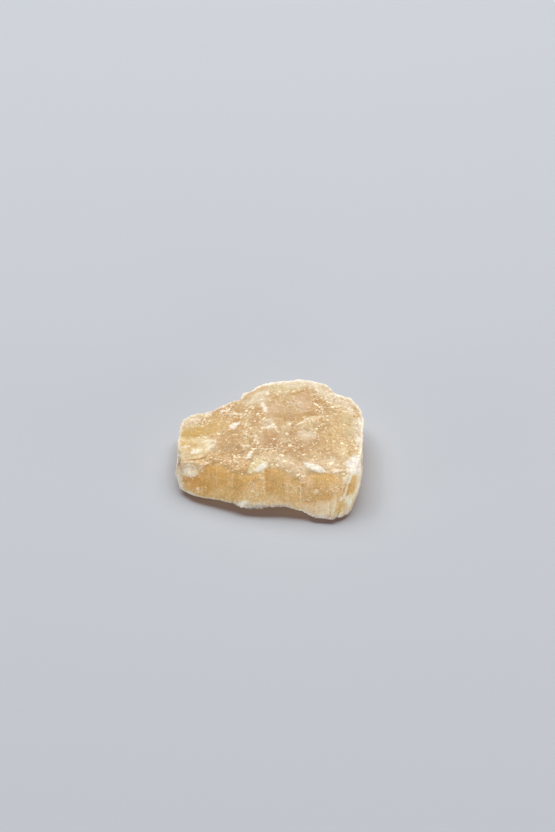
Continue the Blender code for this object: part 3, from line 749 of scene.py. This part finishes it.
# Where the bruised flecks crowd together: outline, softness, share covered.
CROWDS = [
    ([(242, 422), (250, 421), (254, 430), (252, 436), (243, 436)], 2.5, 0.46),
    ([(186, 415), (204, 411), (214, 412), (210, 417), (203, 424), (190, 424)], 3.0, 0.36),
    ([(218, 412), (232, 406), (244, 411), (248, 417), (240, 418), (228, 417), (220, 415)], 2.0, 0.40),
    ([(244, 405), (256, 403), (258, 410), (250, 417), (243, 412)], 2.0, 0.34),
    ([(250, 410), (262, 408), (267, 414), (262, 422), (252, 420)], 2.5, 0.26),
    ([(268, 385), (280, 386), (282, 396), (270, 398)], 3.0, 0.26),
    ([(311, 392), (324, 392), (338, 404), (336, 416), (320, 416), (312, 408)], 3.0, 0.34),
    ([(311, 385), (324, 387), (345, 399), (356, 408), (350, 414), (334, 408), (320, 398)], 2.0, 0.40),
    ([(247, 460), (266, 457), (267, 471), (247, 473)], 1.5, 0.30),
    ([(334, 400), (352, 404), (362, 412), (360, 420), (346, 416), (336, 410)], 3.0, 0.34),
    ([(272, 436), (302, 438), (306, 448), (284, 450), (276, 446)], 3.0, 0.22),
    ([(305, 420), (330, 420), (338, 430), (330, 436), (316, 430), (306, 428)], 3.5, 0.22),
    ([(318, 436), (346, 430), (350, 452), (330, 454)], 4.0, 0.15),
    ([(276, 397), (288, 399), (290, 405), (282, 408), (277, 404)], 2.0, 0.34),
    ([(280, 415), (296, 416), (300, 424), (286, 430), (279, 424)], 3.0, 0.26),
    ([(200, 456), (216, 454), (240, 454), (254, 458), (248, 466), (240, 473), (224, 470), (214, 462), (204, 464)], 2.5, 0.26),
    ([(262, 456), (286, 453), (300, 462), (308, 474), (300, 480), (284, 470), (272, 466)], 3.5, 0.15),
    ([(281, 483), (289, 482), (306, 490), (304, 494), (290, 491), (281, 489)], 1.5, 0.40),
    ([(313, 488), (322, 488), (321, 495), (313, 494)], 1.5, 0.50),
    ([(326, 486), (338, 486), (337, 494), (327, 493)], 1.5, 0.42),
    ([(248, 476), (262, 476), (263, 500), (250, 500)], 4.0, 0.24),
    ([(236, 490), (246, 490), (244, 500), (236, 498)], 3.0, 0.18),
    ([(292, 473), (304, 474), (315, 484), (308, 488), (296, 480)], 2.0, 0.34),
    ([(193, 488), (204, 487), (207, 492), (198, 493)], 1.5, 0.34),
    ([(222, 496), (234, 498), (238, 505), (226, 503)], 1.5, 0.36),
    ([(303, 497), (315, 498), (316, 503), (304, 502)], 1.5, 0.36),
    ([(345, 456), (364, 453), (364, 474), (346, 474)], 2.5, 0.25),
    ([(326, 464), (346, 460), (348, 476), (328, 475)], 2.0, 0.26),
    ([(336, 476), (350, 474), (346, 492), (338, 490)], 1.5, 0.32),
    ([(178, 470), (183, 472), (184, 488), (177, 486)], 1.0, 0.30),
    ([(253, 434), (259, 434), (260, 446), (254, 446)], 1.5, 0.40),
    ([(248, 444), (282, 444), (282, 450), (250, 454)], 1.5, 0.36),
    ([(350, 436), (362, 434), (362, 450), (352, 450)], 2.0, 0.35),
]


def outline_inset(s):
    """How far inside the outline of the lump each point is in the picture, px."""
    inset = np.full(len(s.p), 1e9)
    for a, b in ((s.u, s.v), (s.v, s.u)):
        first = np.floor(a.min())
        centres = np.arange(first, a.max() + 1)
        for sign in (1, -1):
            edge = np.full(len(centres) + 1, 1e9)
            np.minimum.at(edge, np.round(a - first).astype(int), sign * b)
            known = edge < 1e8
            rim = np.interp(a, first + np.flatnonzero(known), edge[known])
            inset = np.minimum(inset, sign * b - rim)
    return inset


# the patches whose grain runs in streaks
STREAKED = ("left_plate", "plate_heart", "plate_heart_2", "plate_bar", "plate_corner", "pink_facet", "pink_core", "wedge", "brown_facet", "ochre_band", "bench")

# the patches that are bruised white right through; some, such as the white flake and the front lens, are painted
# highlights as well
WHITES = (
    "foot_pale", "slab_foot", "chip", "white_flake_highlight", "back_spot", "back_patch", "long_flake", "front_lens", "bench_blob", "end_blob", "white_speck", "right_flake",
    "right_low_flake", "end_crumb", "white_facet_highlight", "foot_white", "left_rim", "corner_core", "end_white", "foot_lens",
)


def lay_out(s):
    """The weight of every patch and line at every point."""
    du, dv = s.ragged(1.0, 1.6, 201) - np.stack([s.u, s.v])
    du += 0.4 * noise(s.p0, 0.7, 205)
    dv += 0.4 * noise(s.p0, 0.7, 206)
    s.patch = {}
    for name, (corners, soft, *_) in PATCHES.items():
        by = min(1.3, 0.3 + 0.5 * soft)  # crisp outlines are less ragged
        s.patch[name] = inside(s.u + by * du, s.v + by * dv, corners, soft) * s.seen
    u, v = s.ragged(0.7, 1.2, 211)
    s.line = {
        name: along(u, v, corners, width, soft) * s.seen
        for name, (corners, width, soft, *_) in LINES.items()
    }


def placed_relief(s):
    d = np.zeros(len(s.p))
    for name, (_, _, height, *_) in PATCHES.items():
        d += height * s.patch[name]
    for name, (_, _, _, height, *_) in LINES.items():
        d += height * s.line[name]
    return d


points, faces = evaluated(
    rough_block(),
    ("REMESH", {"mode": "VOXEL", "voxel_size": FINE_VOXEL}),
    ("SMOOTH", {"factor": 0.5, "iterations": ROUNDING}),
)
s = Surface(points, faces)
lay_out(s)
g, line = s.patch, s.line
plain = 1 - 0.6 * np.clip(
    sum(g[k] for k in ("left_plate", "pink_facet", "wedge", "brown_facet", "back_pale", "ochre_band")), 0, 1
)

# The part of the front that is clean cleavage; hidden faces go by their slope.
u, v = s.ragged(1.6, 2.2, 231)
clean = inside(
    u, v,
    [(183, 477), (196, 475.5), (201, 469), (208, 463.5), (220, 463), (228, 469), (233, 474), (247, 475), (262, 472.5), (265.5, 467.5), (275, 467),
     (284, 471), (292, 478), (302, 482), (309, 476), (325, 474), (340, 474), (348, 478), (343, 500), (335, 522), (180, 522), (180, 488)],
    3.0,
)
clean = clean * s.seen * ramp(-s.n[:, 1], 0.2, 0.5)
clean = np.maximum(clean, s.end * s.seen * 0.8)

d = relief(s) * plain + end_slabs(s.p, s.n) + placed_relief(s)
off = (s.p[:, :2] - ORIGIN) / FOOT_FLAT
worn = 1 - ramp(np.hypot(off[:, 0], off[:, 1]), 0.9, 1.5)
d = d * (1 - s.under) - (0.15 + np.abs(d)) * s.under * (1 - 0.8 * worn)

d += g["chip"] * (1.0 * ramp(s.v, 464, 477) - 0.45)
d += np.maximum(g["foot_white"], g["foot_mid"] * ramp(-s.u, -268, -262)) * (0.22 * ramp(s.v, 500, 507) - 0.05)

# The foot of the end slab reaches forward, and its side is drawn in.
reach = inside(s.u, s.v, [(341, 504), (352, 500), (358, 506), (356, 522), (341, 530), (338, 518)], 3.5)
drawn = inside(s.u, s.v, [(354, 432), (374, 432), (374, 466), (354, 466)], 7.0)
swell = inside(s.u, s.v, [(352, 476), (374, 476), (374, 488), (352, 488)], 5.0)
narrow = inside(s.u, s.v, [(344, 499), (374, 499), (374, 522), (344, 522)], 7.0)
left_foot = inside(s.u, s.v, [(170, 484), (184, 484), (206, 492), (208, 506), (170, 506)], 4.0)
shift = reach[:, None] * (0.0, -0.25, 0.0) + drawn[:, None] * (-0.4, 0.0, 0.0) + swell[:, None] * (0.2, 0.0, 0.0) + narrow[:, None] * (-0.55, 0.0, 0.0) + left_foot[:, None] * (0.0, -0.35, 0.0)

# Chips out of the arrises.
flat = ((s.p - spread(s.p, s.ends, 40)) * s.n).sum(1)
sharp = ramp(flat, 0.12, 0.35)
sharp *= 1 - np.clip(g["foot_white"] + g["foot_mid"], 0, 1)
d -= sharp * (0.05 + 0.55 * ramp(noise(s.p0, 2.2, 341) + 0.5 * noise(s.p0, 1.0, 342), 0.05, 0.6))
grounded = inside(s.u, s.v, [(170, 480), (186, 484), (214, 492), (218, 508), (170, 508)], 8.0)
grounded = np.maximum(grounded, inside(s.u, s.v, [(342, 500), (357, 488), (372, 488), (372, 508), (352, 532), (336, 528)], 5.0))
height = np.maximum(s.p[:, 2], 0.0)
shift[:, 2] = -0.95 * grounded * height * np.exp(-height / 1.8)
s.p = s.p + shift
s.push(d)

# Bruised flecks, which stand a little proud.
u, v = s.ragged(1.2, 2.5, 241)
crowd = 0.05 + 0.12 * ramp(noise(s.p0, 4.5, 301), 0.0, 0.6)
crowd = crowd * (1 - 0.9 * clean) * (1 - 0.6 * s.under)
for corners, soft, dense in CROWDS:
    crowd = np.maximum(crowd, dense * inside(u, v, corners, soft) * s.seen)
crowd *= 1 - 0.75 * np.clip(g["pink_facet"] + g["wedge"] + g["brown_facet"] + 0.7 * g["left_plate"] + 0.8 * g["ochre_band"] + 0.5 * g["white_facet"] + g["glow_calm"], 0, 1)
crowd *= 1 - 0.9 * np.clip(g["foot_white"] + g["foot_mid"], 0, 1)
tilt = s.p0 @ np.array([[0.86, 0.3, 0], [-0.3, 0.86, 0], [0, 0, 1.0]]) * (0.6, 1.0, 1.0)
big = flecks(tilt, 0.80, crowd * 0.34, 321)
small = flecks(tilt, 0.50, crowd * 0.5, 331)
s.push(0.08 * big + 0.05 * small - 0.08 * crowd * ramp(-noise(tilt, 0.8, 351), 0.0, 0.5))
s.p[:, 2] = np.maximum(s.p[:, 2], 0.0)
s.n = vertex_normals(s.p, s.faces)

# How proud or hollow each point is, at two scales (mm).
near = ((s.p - spread(s.p, s.ends, 10)) * s.n).sum(1)
wide = ((s.p - spread(s.p, s.ends, 60)) * s.n).sum(1)


# --------------------------------------------------------------------- colours
class Paint:
    def __init__(self, count, start):
        self.c = np.tile(start, (count, 1))

    def lay(self, tone, weight):
        w = np.clip(weight, 0, 1)[:, None]
        self.c = self.c * (1 - w) + tone * w


nx, ny, nz = s.n.T
front = np.maximum(clean, s.front * (1 - s.seen))
lit = ramp(spread(s.n, s.ends, 50)[:, 2], 0.35, 0.85)  # 1 on the top, 0 on the sides
paint = Paint(len(s.p), GLOW)
paint.lay(HAZE, 0.8 * ramp(ny, -0.5, 0.2))
paint.lay(HONEY, lit)
cloud = fractal(s.p0, 7.0, 401, 3)
# each tone has a darker copy for the top and a lighter one for the sides; the lighter side copies are a painted glow
light = CREAM * lit[:, None] + HAZE * (1 - lit[:, None])
dark = AMBER * lit[:, None] + EMBER * (1 - lit[:, None])
rose = ROSE * lit[:, None] + HAZE * (1 - lit[:, None])
white = CRUMB * lit[:, None] + MILK * (1 - lit[:, None])
paint.lay(light, ramp(cloud, 0.05, 0.6) * 0.5)
paint.lay(dark, ramp(-cloud, 0.05, 0.6) * 0.5)
paint.lay(rose, ramp(noise(s.p0, 8.0, 405), 0.0, 0.5) * 0.25)
mottle = fractal(tilt, 2.2, 411, 3, 0.5)
paint.lay(dark, ramp(mottle, 0.1, 0.8) * 0.4)
paint.lay(light, ramp(-mottle, 0.15, 0.8) * 0.4)
veil = fractal(s.p0 * (1, 0.5, 0.5), 3.0, 415, 3)
# painted glow: the clean front is laid over with the lighter glow tones
paint.lay(GLOW, front * 0.7)
paint.lay(EMBER, front * ramp(veil, 0.0, 0.6) * 0.3)
paint.lay(HAZE, front * ramp(-veil, 0.15, 0.7) * 0.4)
# the lower sides are painted paler towards the foot: partly painted light from the floor and through the thin foot,
# partly bruising
low = ramp(-s.p[:, 2], -7.0, -1.5) * (1 - lit) * (1 - s.under)
paint.lay(MILK, low * 0.35)

# placed patches, broken up by the grain
broken = [fractal(tilt, 1.1, 501 + 5 * k, 2) for k in range(4)]
grainy = s.p0 @ np.array([[0.97, 0.25, 0], [-0.25, 0.97, 0], [0, 0, 1.0]]) * (0.18, 1.0, 1.0)
streaks = fractal(grainy, 0.9, 531, 2)
for k, (name, (*_, tone, strength)) in enumerate(PATCHES.items()):
    how = 1.6 * streaks if name in STREAKED else broken[k % 4]
    paint.lay(tone, g[name] * np.clip(strength * (1 + 0.45 * how), 0, 1))

# arrises are bruised pale; hollows are darkened, a painted shade
rough_edge = ramp(noise(s.p0, 1.1, 421), -0.35, 0.35)
paint.lay(light, ramp(near, 0.02, 0.12) * 0.45)
paint.lay(white, ramp(wide, 0.22, 0.7) * rough_edge * 0.6)
paint.lay(dark * 0.85, ramp(-near, 0.03, 0.14) * 0.4)

gaps = np.clip(0.7 + 0.9 * noise(s.p0, 0.9, 551), 0.1, 1)
for name, (*_, tone, strength) in LINES.items():
    paint.lay(tone, line[name] * gaps * strength)

shine = 0.5 + 0.5 * ramp(noise(s.p0, 1.9, 561), -0.3, 0.4)
frost = np.clip(0.9 * big + 0.8 * small, 0, 1) * shine
paint.lay(white, frost * 0.8)

# painted glow: the thin arrises, where light comes through, are painted as a pale band
hem_glow = ramp(1 - spread(lit, s.ends, 90), 0.12, 0.5) * ramp(nz, 0.0, 0.3)
hem_glow *= ramp(s.p[:, 1], -15.0, -9.0) * (1 - 0.8 * clean)
paint.lay(IVORY, 0.85 * hem_glow * np.clip(0.6 + 0.4 * fractal(s.p0, 2.4, 575, 2), 0, 1))
# painted glow, partly bruising: pale rims round the back outline, the top arrises and the foot, where light comes
# through the thin edges
wall = ramp(0.3 - nz, 0.0, 0.25) * ramp(ny, -0.6, -0.2) * ramp(s.p[:, 2], 1.0, 4.0)
top_rim = ramp(spread(wall, s.ends, 12), 0.08, 0.3) * ramp(nz, 0.0, 0.3)
inset = outline_inset(s) / (1 + 0.5 * fractal(s.p0, 2.0, 577, 2))
back_rim = (1 - ramp(inset, 0.5, 3.2)) * s.seen * (0.4 + 0.6 * ramp(s.u, 236, 262)) * (1 - 0.5 * clean)
turn = spread(ramp(-nz, 0.1, 0.5) * (1 - ramp(s.p[:, 2], 2.5, 4.5)), s.ends, 12)
foot_rim = ramp(turn, 0.06, 0.25) * ramp(nz, -0.75, -0.4) * (1 - ramp(s.p[:, 2], 3.0, 5.0))
rim = np.clip(np.maximum(np.maximum(back_rim, top_rim), foot_rim), 0, 1)
rim *= (1 - np.clip(g["left_shade"], 0, 1)) * (1 - 0.55 * g["foot_calm"])
rim *= np.clip(0.85 + 0.7 * fractal(s.p0, 1.3, 571, 2), 0.2, 1)
paint.lay(srgb(250, 243, 234) * lit[:, None] + BONE * (1 - lit[:, None]), rim * 0.9)
paint.lay(AMBER, ramp(-nz, 0.8, 0.95) * 0.9)

# bruised white calcite is opaque, the rest clear
bruised = sum(g[k] * PATCHES[k][4] for k in WHITES) - 0.45 * (g["foot_pale"] + g["slab_foot"] + g["chip"] + g["foot_white"])
bruised = bruised + sum(line[k] * 0.8 * gaps for k, v in LINES.items() if v[4] is SNOW or v[4] is MILK)
frost = np.clip(np.maximum(frost, np.maximum(0.85 * rim, 0.9 * bruised)), 0, 1)
grit = np.clip(0.08 + 1.3 * crowd, 0, 1)
gloss = np.clip(0.3 + 0.6 * front + 0.5 * (1 - plain) - 0.5 * np.clip(0.9 * big + 0.8 * small, 0, 1), 0, 1)

# -------------------------------------------------------------- thin the mesh
fine = bpy.data.meshes.new("fine")
fine.from_pydata(s.p.tolist(), [], s.faces.tolist())
share = min(1.0, MOST_TRIANGLES / len(s.faces))
points, faces = evaluated(fine, ("DECIMATE", {"ratio": share}))
tree = KDTree(len(s.p))
for i, p in enumerate(s.p.tolist()):
    tree.insert(p, i)
tree.balance()
nearest = np.array([tree.find(p)[1] for p in points.tolist()])
points[:, 2] = np.maximum(points[:, 2], 0.0)
print("fine", len(s.faces), "kept", len(faces))

mesh = bpy.data.meshes.new("calcite_surface")
mesh.from_pydata(((points - (ORIGIN[0], ORIGIN[1], 0)) * MM).tolist(), [], faces.tolist())
mesh.shade_smooth()
tint = mesh.color_attributes.new("tint", "FLOAT_COLOR", "POINT")
tint.data.foreach_set("color", np.c_[paint.c[nearest], np.ones(len(nearest))].ravel())
for name, field in (("grit", grit), ("gloss", gloss), ("frost", frost)):
    layer = mesh.attributes.new(name, "FLOAT", "POINT")
    layer.data.foreach_set("value", field[nearest])
stone = bpy.data.objects.new("calcite_surface", mesh)
SCENE.collection.objects.link(stone)


# -------------------------------------------------------------------- material
class Nodes:
    """Short hand for building a node tree."""

    def __init__(self, material):
        material.use_nodes = True
        self.tree = material.node_tree
        self.shader = self.tree.nodes["Principled BSDF"]

    def add(self, kind, settings=None, **inputs):
        made = self.tree.nodes.new(kind)
        for key, value in (settings or {}).items():
            setattr(made, key, value)
        for key, value in inputs.items():
            self.put(made, key, value)
        return made

    def put(self, made, key, value):
        socket = made.inputs[int(key[1:])] if key[0] == "i" and key[1:].isdigit() else made.inputs[key.replace("_", " ")]
        if isinstance(value, bpy.types.NodeSocket):
            self.tree.links.new(value, socket)
        else:
            socket.default_value = value

    def math(self, operation, a, b=0.0, clamp=False):
        return self.add("ShaderNodeMath", {"operation": operation, "use_clamp": clamp}, i0=a, i1=b).outputs[0]

    def fit(self, value, low, high, to_low=0.0, to_high=1.0, smooth=True):
        kind = "SMOOTHSTEP" if smooth else "LINEAR"
        made = self.add("ShaderNodeMapRange", {"interpolation_type": kind, "clamp": True})
        for k, x in enumerate((value, low, high, to_low, to_high)):
            self.put(made, "i%d" % k, x)
        return made.outputs[0]

    def mix(self, factor, a, b, blend="MIX"):
        made = self.add("ShaderNodeMix", {"data_type": "RGBA", "blend_type": blend, "clamp_factor": True})
        self.put(made, "i0", factor)
        self.put(made, "i6", a)
        self.put(made, "i7", b)
        return made.outputs[2]

    def scaled(self, vector, by, turn=(0, 0, 0)):
        made = self.add("ShaderNodeMapping", {"vector_type": "POINT"}, Vector=vector)
        made.inputs["Scale"].default_value = by
        made.inputs["Rotation"].default_value = turn
        return made.outputs[0]

    def noise(self, vector, detail=3.0, rough=0.55, distortion=0.0):
        made = self.add("ShaderNodeTexNoise", None, Vector=vector, Scale=1.0, Detail=detail, Roughness=rough, Distortion=distortion)
        return made.outputs[0]

    def field(self, name, colour=False):
        made = self.add("ShaderNodeAttribute", {"attribute_name": name})
        return made.outputs["Color" if colour else "Fac"]


def rgba(tone):
    return (*tone.tolist(), 1.0)


def calcite_material():
    material = bpy.data.materials.new("honey_calcite")
    t = Nodes(material)
    here = t.add("ShaderNodeTexCoord").outputs["Object"]
    tint, grit, gloss, frost = t.field("tint", True), t.field("grit"), t.field("gloss"), t.field("frost")

    k = 1 / MM

    def bent(size, stretch, turn, seed):
        """Coordinates in units of this size, stretched and turned."""
        moved = t.add("ShaderNodeVectorMath", {"operation": "ADD"}, i0=here)
        moved.inputs[1].default_value = (seed * 0.0137, seed * 0.0071, seed * 0.0173)
        return t.scaled(moved.outputs[0], (k / (size * stretch), k / size, k / size), (0, 0, math.radians(turn)))

    veil = t.noise(bent(3.2, 1.3, 12, 1), 3.0, 0.5)
    mottle = t.noise(bent(1.1, 1.7, 14, 2), 4.0, 0.6, 0.4)

    colour = t.mix(t.fit(veil, 0.5, 0.68, 0.0, 0.5), tint, t.mix(1.0, tint, (0.88, 0.79, 0.64, 1), "MULTIPLY"))
    colour = t.mix(t.fit(veil, 0.5, 0.34, 0.0, 0.3), colour, t.mix(1.0, colour, (1.10, 1.16, 1.28, 1), "MULTIPLY"))
    rough_here = t.fit(gloss, 0.2, 0.9, 1.0, 0.3, smooth=False)
    dark = t.math("MULTIPLY", t.fit(mottle, 0.53, 0.74, 0.0, 0.42), rough_here)
    colour = t.mix(dark, colour, t.mix(1.0, colour, (0.82, 0.68, 0.48, 1), "MULTIPLY"))
    light = t.math("MULTIPLY", t.fit(mottle, 0.46, 0.28, 0.0, 0.4), rough_here)
    colour = t.mix(light, colour, t.mix(1.0, colour, (1.12, 1.2, 1.36, 1), "MULTIPLY"))

    # crumbs of crystal: cells, some of which are bruised white and painted near white, partly a painted glint
    def crumbs(size, seed, low, high):
        where = bent(size, 1.5, 14 + 9 * seed, seed)
        wobble = t.add("ShaderNodeTexNoise", None, Vector=where, Scale=1.3, Detail=1.0)
        moved = t.add("ShaderNodeVectorMath", {"operation": "MULTIPLY_ADD"}, i0=wobble.outputs["Color"], i2=where)
        moved.inputs[1].default_value = (0.5, 0.5, 0.5)
        cells = t.add("ShaderNodeTexVoronoi", {"feature": "F1"}, Vector=moved.outputs[0], Scale=1.0)
        parts = t.add("ShaderNodeSeparateColor", None, i0=cells.outputs["Color"])
        level = t.fit(grit, 0.08, 0.8, low, high, smooth=False)
        picked = t.fit(t.math("SUBTRACT", parts.outputs[0], level), 0.0, 0.04)
        body = t.fit(cells.outputs["Distance"], 0.62, 0.36)
        strength = t.fit(parts.outputs[1], 0.0, 0.8, 0.3, 1.0, smooth=False)
        glint = t.math("MULTIPLY", t.math("MULTIPLY", picked, body), strength)
        return cells.outputs["Color"], glint, parts.outputs[2]

    coarse, glint_a, _ = crumbs(0.85, 4, 0.985, 0.72)
    small, glint_b, grain = crumbs(0.38, 5, 0.955, 0.62)
    glint = t.math("MAXIMUM", glint_a, glint_b)

    # and thin bruised edges that run between them, painted bright: partly painted glints
    thread = t.noise(bent(1.9, 1.8, 16, 7), 2.0, 0.5, 0.6)
    thread = t.fit(t.math("ABSOLUTE", t.math("SUBTRACT", thread, 0.5)), 0.016, 0.004)
    broken = t.fit(t.noise(bent(1.3, 1.2, 40, 8), 1.0), 0.50, 0.58)
    thread = t.math("MULTIPLY", t.math("MULTIPLY", thread, broken), t.fit(grit, 0.08, 0.5, 0.25, 0.9, smooth=False))
    glint = t.math("MAXIMUM", glint, t.math("MULTIPLY", thread, rough_here))
    fine = t.noise(bent(0.3, 1.2, 20, 9), 1.0)
    speckle = t.fit(grain, 0.0, 1.0, 0.91, 1.10, smooth=False)
    speckle = t.math("MULTIPLY", speckle, t.fit(fine, 0.32, 0.68, 0.87, 1.15, smooth=False))
    rib = t.noise(t.scaled(here, (k / 0.45, k / 6, k / 6)), 2.0)
    rib = t.fit(rib, 0.3, 0.7, 0.94, 1.05, smooth=False)
    rib = t.mix(t.fit(gloss, 0.6, 0.9), (1, 1, 1, 1), rib)
    colour = t.mix(1.0, t.mix(1.0, colour, speckle, "MULTIPLY"), rib, "MULTIPLY")
    # painted shade: dark gaps between the crumbs
    gap_shade = t.noise(bent(0.62, 1.4, 16, 3), 2.0, 0.55, 0.3)
    gap_shade = t.math("MULTIPLY", t.fit(gap_shade, 0.46, 0.36), t.fit(grit, 0.1, 0.6, 0.04, 0.7))
    colour = t.mix(gap_shade, colour, t.mix(1.0, colour, (0.76, 0.60, 0.40, 1), "MULTIPLY"))
    # the picked crumbs and threads are painted near white, bruising and painted glint in one
    colour = t.mix(t.math("MULTIPLY", glint, 0.95), colour, rgba(srgb(255, 241, 210)))

    # every crumb is a facet with its own tilt
    def tilted(colour_out, amount, onto):
        off = t.add("ShaderNodeVectorMath", {"operation": "SUBTRACT"}, i0=colour_out)
        off.inputs[1].default_value = (0.5, 0.5, 0.5)
        off = t.add("ShaderNodeVectorMath", {"operation": "SCALE"}, i0=off.outputs[0], Scale=amount)
        return t.add("ShaderNodeVectorMath", {"operation": "ADD"}, i0=onto, i1=off.outputs[0]).outputs[0]

    straight = t.add("ShaderNodeNewGeometry").outputs["Normal"]
    tilt = t.fit(grit, 0.05, 0.5, 0.35, 0.9, smooth=False)
    tilt = t.math("MULTIPLY", tilt, rough_here)
    facet = tilted(small, tilt, tilted(coarse, tilt, straight))
    facet = t.add("ShaderNodeVectorMath", {"operation": "NORMALIZE"}, i0=facet).outputs[0]
    body = tilted(coarse, t.math("MULTIPLY", tilt, 0.35), straight)
    body = t.add("ShaderNodeVectorMath", {"operation": "NORMALIZE"}, i0=body).outputs[0]

    shader = t.shader
    t.put(shader, "Base_Color", colour)
    t.put(shader, "Roughness", t.fit(gloss, 0.0, 1.0, 0.5, 0.25, smooth=False))
    t.put(shader, "IOR", 1.55)
    t.put(shader, "Specular_IOR_Level", 0.22)
    opaque = t.math("MAXIMUM", frost, t.math("MULTIPLY", glint, 0.7))
    clear = t.fit(opaque, 0.1, 1.0, 1.0, 0.35, smooth=False)
    t.put(shader, "Subsurface_Weight", t.math("MULTIPLY", t.fit(gloss, 0.2, 0.9, 0.75, 1.0, smooth=False), clear))
    t.put(shader, "Subsurface_Radius", (0.80, 0.80, 0.80))
    t.put(shader, "Subsurface_Scale", 9.0 * MM)
    height = t.math("ADD", t.math("MULTIPLY", mottle, 0.8), t.math("MULTIPLY", glint, 0.4))
    height = t.math("MULTIPLY", height, rough_here)
    bump = t.add("ShaderNodeBump", None, Height=height, Normal=body)
    bump.inputs["Strength"].default_value = 0.8
    bump.inputs["Distance"].default_value = 0.15 * MM
    t.put(shader, "Normal", bump.outputs[0])
    t.put(shader, "Coat_Weight", t.fit(grit, 0.05, 0.5, 0.12, 0.4, smooth=False))
    t.put(shader, "Coat_Roughness", 0.1)
    t.put(shader, "Coat_Normal", facet)

    # a little warm light comes right through on to the floor
    through = t.add("ShaderNodeBsdfTransparent", None, Color=(0.30, 0.13, 0.02, 1))
    both = t.add("ShaderNodeMixShader", None, i0=t.add("ShaderNodeLightPath").outputs["Is Shadow Ray"], i1=shader.outputs[0], i2=through.outputs[0])
    t.tree.links.new(both.outputs[0], t.tree.nodes["Material Output"].inputs["Surface"])
    return material


mesh.materials.append(calcite_material())
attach(stone, "root")
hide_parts("calcite_piece")

# --------------------------------------------------------------------- staging
floor_mesh = bpy.data.meshes.new("floor")
floor_mesh.from_pydata([(-4, -4, 0), (4, -4, 0), (4, 4, 0), (-4, 4, 0)], [], [(0, 1, 2, 3)])
floor = bpy.data.objects.new("floor", floor_mesh)
SCENE.collection.objects.link(floor)
fm = bpy.data.materials.new("sweep")
fm.use_nodes = True
fb = fm.node_tree.nodes["Principled BSDF"]
fb.inputs["Base Color"].default_value = (0.450, 0.476, 0.520, 1)
fb.inputs["Roughness"].default_value = 0.8
fb.inputs["Specular IOR Level"].default_value = 0.2
floor_mesh.materials.append(fm)

world = bpy.data.worlds.new("world")
SCENE.world = world
world.use_nodes = True
world.node_tree.nodes["Background"].inputs[0].default_value = (1.0, 1.0, 1.0, 1)
world.node_tree.nodes["Background"].inputs[1].default_value = 0.06


def area(name, where, at, size, power, colour):
    data = bpy.data.lights.new(name, "AREA")
    data.shape = "ELLIPSE"
    data.size, data.size_y = size
    data.energy = power
    data.color = colour
    lamp = bpy.data.objects.new(name, data)
    SCENE.collection.objects.link(lamp)
    lamp.location = where
    lamp.rotation_mode = "QUATERNION"
    lamp.rotation_quaternion = (Vector(at) - Vector(where)).to_track_quat("-Z", "Y")
    return lamp


area("softbox", (-0.02, 0.60, 1.3), (0, 0, 0), (2.4, 1.3), 32.3, (1.0, 0.99, 0.97))
area("fill", (0.25, -1.0, 0.12), (0, 0, 0), (0.6, 0.3), 2.6, (1.0, 0.99, 0.97))
area("side_left", (-0.95, -0.45, 0.16), (0, 0, 0), (0.5, 0.3), 2.1, (1.0, 0.99, 0.97))
area("side_right", (0.95, -0.40, 0.16), (0, 0, 0), (0.5, 0.3), 2.5, (1.0, 0.99, 0.97))
area("spark_left", (-0.45, 0.35, 0.95), (0, 0, 0), (0.10, 0.10), 0.7, (1.0, 0.98, 0.95))
area("spark_right", (0.35, 0.15, 1.05), (0, 0, 0), (0.10, 0.10), 0.7, (1.0, 0.98, 0.95))
